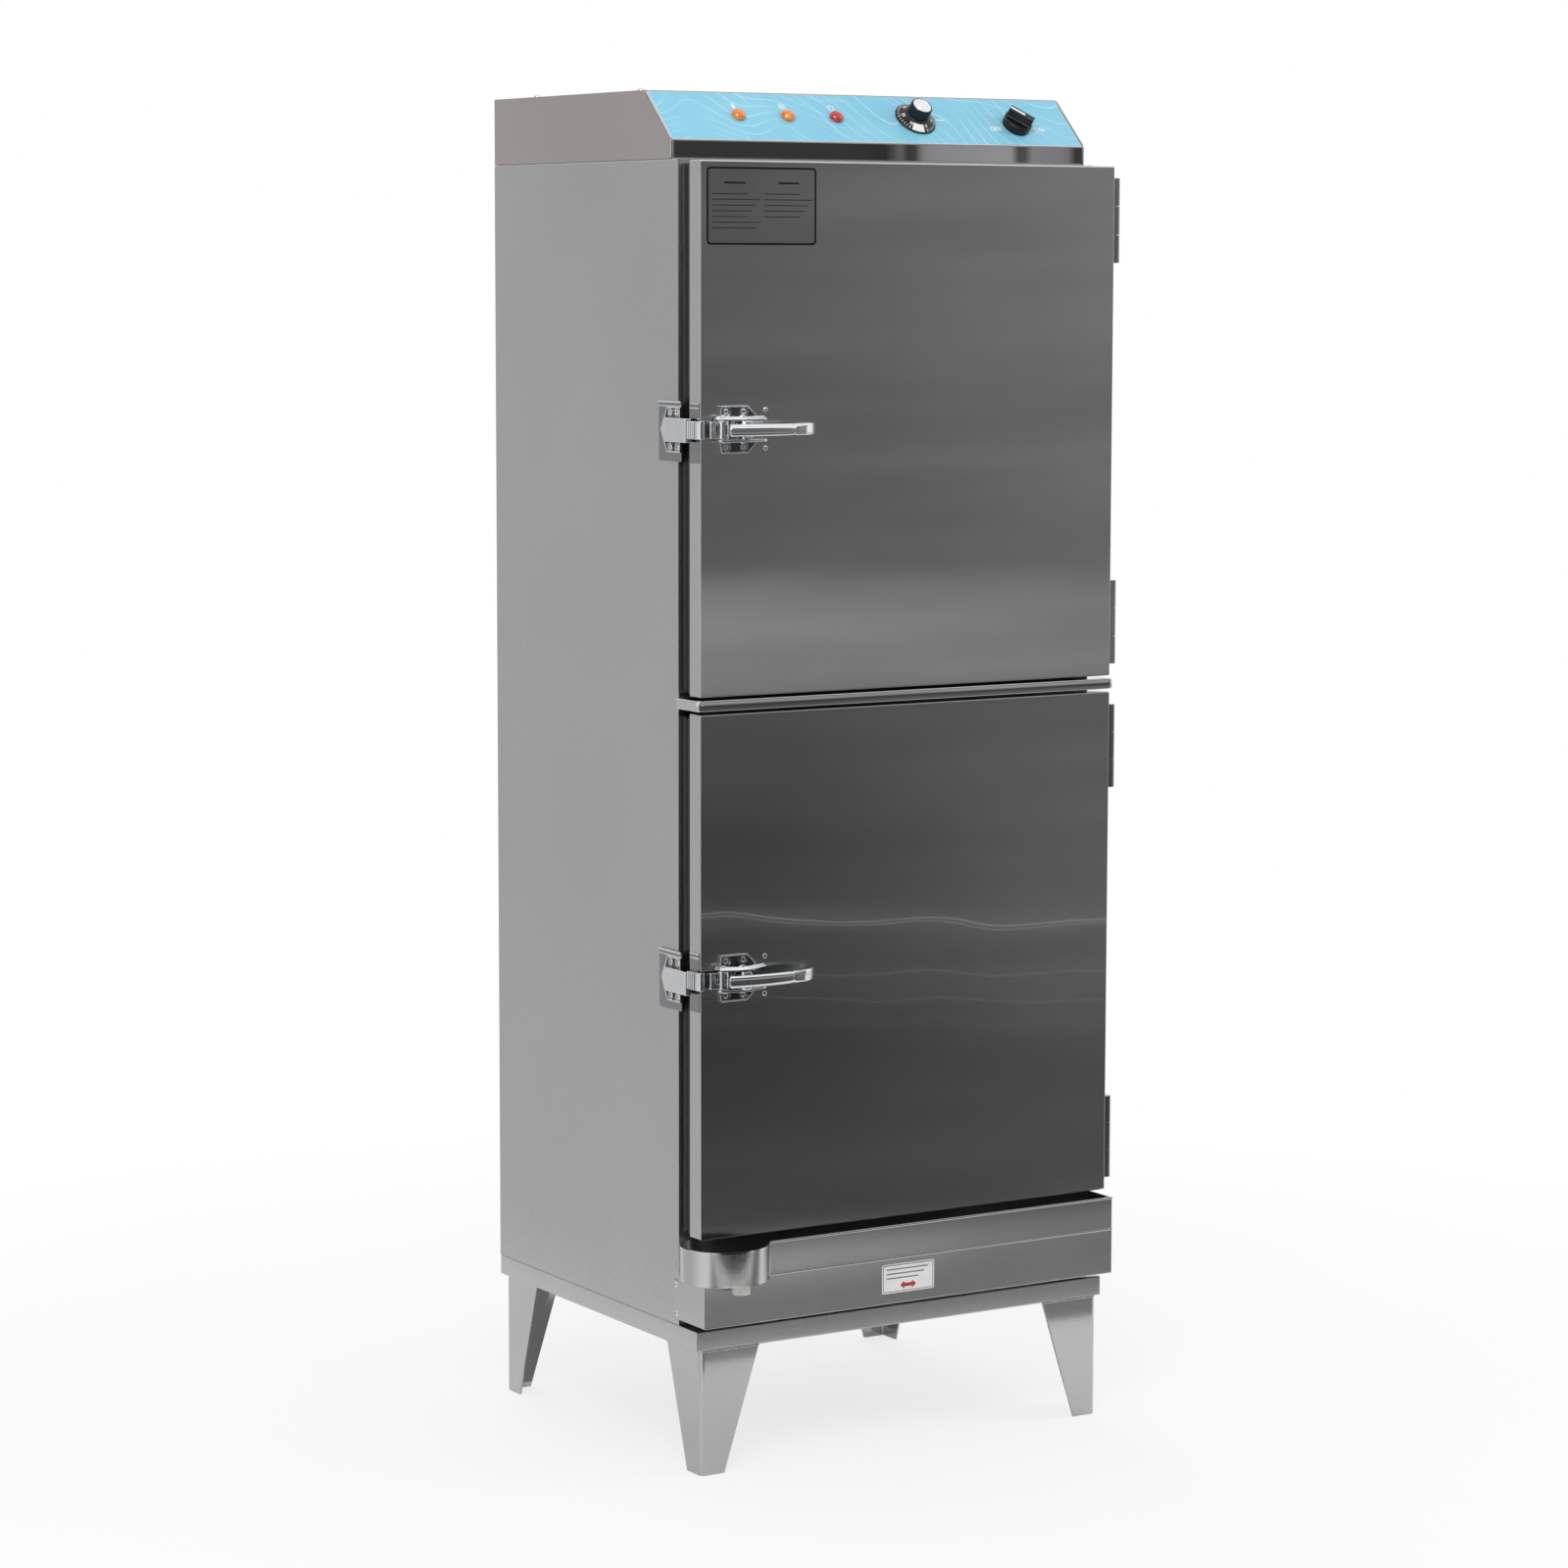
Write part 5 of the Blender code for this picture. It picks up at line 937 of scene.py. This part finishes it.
# The cards' sides, place in front, top and cap, and the floor's half width and height, in m
CARD_LEFT, CARD_RIGHT, CARD_AT, CARD_TOP, CAP_TOP = -1.1, 1.7, -0.65, 1.437, 1.52
FLOOR_HALF, FLOOR_DROP = 9, -0.0005

# What the lip mirrors: place across in m, and radiance
LIP_GLOW = ((CARD_LEFT, 0.06), (0.30, 0.05), (0.34, 0.04), (0.345, 0.12), (0.36, 0.2), (0.365, 0.06),
            (0.378, 0.08), (0.39, 0.35), (0.52, 0.41), (0.526, 0.1), (0.544, 0.1), (0.55, 0.31),
            (0.605, 0.28), (0.612, 0.06), (0.63, 0.06), (0.64, 0.25), (CARD_RIGHT, 0.2))

# The bright thread that runs across the lower door: place across and height, in m
THREAD = ((0.0, 0.546), (0.03, 0.547), (0.055, 0.543), (0.09, 0.5365), (0.15, 0.53), (0.185, 0.525),
          (0.245, 0.5193), (0.307, 0.519), (0.336, 0.5165), (0.357, 0.5135), (0.386, 0.5075),
          (0.414, 0.503), (0.45, 0.501), (0.53, 0.4995), (0.6, 0.495))
# The thread and its fainter copies: how far each lies below it, half its width, and its radiance
THREADS = ((0.0, 0.001, 0.66), (0.0045, 0.0008, 0.45), (0.064, 0.0008, 0.26), (0.098, 0.0008, 0.22),
           (0.127, 0.004, 0.03))


def sheet(name, corners, finish, seen=True):
    """A flat sheet of the studio, seen by all or by reflections alone; gives its tree and Object coordinates."""
    mesh = bpy.data.meshes.new(name)
    mesh.from_pydata(corners, [], [(0, 1, 2, 3)])
    obj = linked(name, mesh)
    obj.visible_camera = obj.visible_diffuse = obj.visible_shadow = obj.visible_transmission = seen
    paint = bpy.data.materials.new(finish)
    paint.use_nodes = True
    tree = paint.node_tree
    tree.nodes.clear()
    mesh.materials.append(paint)
    return tree, add(tree, "ShaderNodeTexCoord").outputs["Object"]


def card(name, corners):
    """A sheet that only reflections see; gives its tree, its Object coordinates and their three parts."""
    tree, here = sheet(name, corners, name, False)
    return tree, here, add(tree, "ShaderNodeSeparateXYZ", (here,)).outputs


def graded(tree, across, first, last, stops):
    """A value along a card that goes through (place, value) stops."""
    node = add(tree, "ShaderNodeValToRGB", (add(tree, "ShaderNodeMapRange", (across, first, last)),))
    marks = node.color_ramp.elements
    marks.remove(marks[1])
    marks[0].position, marks[0].color = 0, (stops[0][1],) * 3 + (1,)
    for place, value in stops[1:]:
        marks.new((place - first) / (last - first)).color = (value,) * 3 + (1,)
    return node


def card_end(tree, strength, cover):
    """A glowing card that is clear where its cover is 0."""
    glow = add(tree, "ShaderNodeEmission", {"Strength": strength})
    mix = add(tree, "ShaderNodeMixShader", (cover, add(tree, "ShaderNodeBsdfTransparent"), glow))
    add(tree, "ShaderNodeOutputMaterial", (mix,))


def build_studio():
    """White paper, the cards that the steel mirrors, three lamps and the camera."""
    scene = bpy.context.scene
    scene.view_settings.view_transform = "Standard"
    build_paper(scene)
    build_cards()
    for name, place, size, power in (("key_lamp", (-1.9, -2.4, 3.0), 1.6, 55),
                                     ("fill_lamp", (2.6, -1.6, 2.6), 2.0, 26),
                                     ("back_lamp", (0.6, 3.0, 3.0), 2.0, 30)):
        light = bpy.data.lights.new(name, "AREA")
        light.energy, light.size = power, size
        lamp = linked(name, light)
        lamp.visible_glossy = name == "key_lamp"
        aim = Vector((0, 0, 0.8)) - Vector(place)
        lamp.matrix_world = Matrix.Translation(place) @ aim.to_track_quat("-Z", "Y").to_matrix().to_4x4()

    # The photograph's camera: place in m, then yaw, downward pitch and roll in degrees
    yaw, pitch, roll = (radians(a) for a in (31.522, 6.595, 0.111))
    ahead, right = Vector((sin(yaw), cos(yaw), 0)), Vector((cos(yaw), -sin(yaw), 0))
    up = Vector((0, 0, 1))
    ahead, up = ahead * cos(pitch) - up * sin(pitch), up * cos(pitch) + ahead * sin(pitch)
    right, up = right * cos(roll) + up * sin(roll), up * cos(roll) - right * sin(roll)
    camera = bpy.data.cameras.new("camera")
    camera.lens, camera.sensor_width, camera.clip_end = 102.72, 36, 50
    eye = linked("camera", camera)
    eye.matrix_world = Matrix.Translation((-2.67275, -4.30693, 1.31175)) @ \
        Matrix((right, up, -ahead)).transposed().to_4x4()
    scene.camera = eye


def build_paper(scene):
    """White all round to the eye and to mirrors, half as bright as a light, and a floor with shadows."""
    for world in list(bpy.data.worlds):
        bpy.data.worlds.remove(world)
    scene.world = bpy.data.worlds.new("studio")
    scene.world.use_nodes = True
    tree = scene.world.node_tree
    tree.nodes.clear()
    path = add(tree, "ShaderNodeLightPath").outputs
    seen = add(tree, "ShaderNodeMath", (path["Is Camera Ray"], path["Is Glossy Ray"]), operation="MAXIMUM")
    seen = add(tree, "ShaderNodeMath", (seen, path["Is Transmission Ray"]), operation="MAXIMUM")
    level = add(tree, "ShaderNodeMapRange", (seen, 0.0, 1.0, 0.5, 1.0))
    sky = add(tree, "ShaderNodeBackground", {"Color": (1, 1, 1, 1), "Strength": level})
    add(tree, "ShaderNodeOutputWorld", (sky,))

    half, low = FLOOR_HALF, FLOOR_DROP
    corners = [(-half, -half, low), (half, -half, low), (half, half, low), (-half, half, low)]
    tree, here = sheet("floor", corners, "white_paper_floor")
    path = add(tree, "ShaderNodeLightPath").outputs
    away = add(tree, "ShaderNodeVectorMath", (here,), operation="LENGTH")
    white = add(tree, "ShaderNodeMapRange", (away, 0.4, 1.7, 0.76, 1.0))
    seen = add(tree, "ShaderNodeMath", (path["Is Glossy Ray"], 0.3, path["Is Camera Ray"]),
               operation="MULTIPLY_ADD")
    share = add(tree, "ShaderNodeMath", (seen, white), operation="MULTIPLY")
    lit = add(tree, "ShaderNodeBsdfDiffuse", {"Color": linear("#F6F6F5")})
    glow = add(tree, "ShaderNodeEmission", {"Strength": 1.0})
    add(tree, "ShaderNodeOutputMaterial", (add(tree, "ShaderNodeMixShader", (share, lit, glow)),))


def build_cards():
    """What the steel mirrors, in m."""
    # The dark card in front of the doors, lighter to the right, and its cap, which the polished lip mirrors
    def upright(low, high):
        return [(CARD_LEFT, CARD_AT, low), (CARD_RIGHT, CARD_AT, low), (CARD_RIGHT, CARD_AT, high),
                (CARD_LEFT, CARD_AT, high)]

    tree, here, (x, y, z) = card("front_card", upright(0, CARD_TOP))
    sides = [graded(tree, z, 0.0, CARD_TOP, [(stop[0], stop[side]) for stop in GLOW]) for side in (1, 2)]
    share = add(tree, "ShaderNodeMapRange", (x, 0.08, 0.53))
    strength = add(tree, "ShaderNodeMix", {0: share, 2: sides[0], 3: sides[1]})
    flat = add(tree, "ShaderNodeMapping", {"Vector": here, "Scale": (3.5, 1, 26)})
    bands = add(tree, "ShaderNodeTexNoise", {"Vector": flat, "Scale": 1.0, "Detail": 2.0})
    bands = add(tree, "ShaderNodeMapRange", (bands, 0.3, 0.7, 0.8, 1.2))
    strength = add(tree, "ShaderNodeMath", (strength, bands), operation="MULTIPLY")
    run = graded(tree, x, 0.0, 0.6, THREAD)
    for lower, thick, glow in THREADS:
        height = add(tree, "ShaderNodeMath", (run, lower), operation="SUBTRACT")
        off = add(tree, "ShaderNodeMath", (z, height, thick), operation="COMPARE")
        strength = add(tree, "ShaderNodeMath", (off, glow, strength), operation="MULTIPLY_ADD")
    right = add(tree, "ShaderNodeMapRange", (x, 1.2, CARD_RIGHT, 1, 0))
    left = add(tree, "ShaderNodeMapRange", (x, CARD_LEFT, -0.7))
    card_end(tree, strength, add(tree, "ShaderNodeMath", (right, left), operation="MULTIPLY"))
    tree, here, (x, y, z) = card("front_card_cap", upright(CARD_TOP, CAP_TOP))
    fade = add(tree, "ShaderNodeMapRange", (z, 1.475, CAP_TOP, 1, 0))
    card_end(tree, graded(tree, x, CARD_LEFT, CARD_RIGHT, LIP_GLOW), fade)

    # The dark far edge of the paper, which the tops of the legs mirror
    tree, here, (x, y, z) = card("floor_edge", [(CARD_LEFT, -0.66, 0.001), (CARD_RIGHT, -0.66, 0.001),
                                                (CARD_RIGHT, -0.5, 0.001), (CARD_LEFT, -0.725, 0.001)])
    card_end(tree, add(tree, "ShaderNodeMapRange", (x, 0.0, 1.0, 0.24, 0.28)), 1.0)

    # The shade under the cabinet, which the backs of the legs mirror
    tree, here, (x, y, z) = card("floor_shade", [(-0.24, -0.14, 0.001), (0.24, -0.14, 0.001),
                                                 (0.24, 0.23, 0.001), (-0.24, 0.23, 0.001)])
    card_end(tree, add(tree, "ShaderNodeMapRange", (y, 0.0, 1.0, 0.2, 0.3)), 1.0)

    # The grey card at the left that the left side mirrors
    tree, here, (x, y, z) = card("left_card", [(-0.62, -0.3, 0), (-0.62, 1.6, 0), (-0.62, 1.6, 2.1),
                                               (-0.62, -0.3, 2.1)])
    near = add(tree, "ShaderNodeMapRange", (y, -0.28, -0.03))
    far = add(tree, "ShaderNodeMapRange", (y, 1.2, 1.6, 1, 0))
    grey = add(tree, "ShaderNodeMapRange", (z, 0.0, 1.6, 0.63, 0.545))
    card_end(tree, grey, add(tree, "ShaderNodeMath", (near, far), operation="MULTIPLY"))


build_casing()
build_fixings()
build_controls()
build_studio()
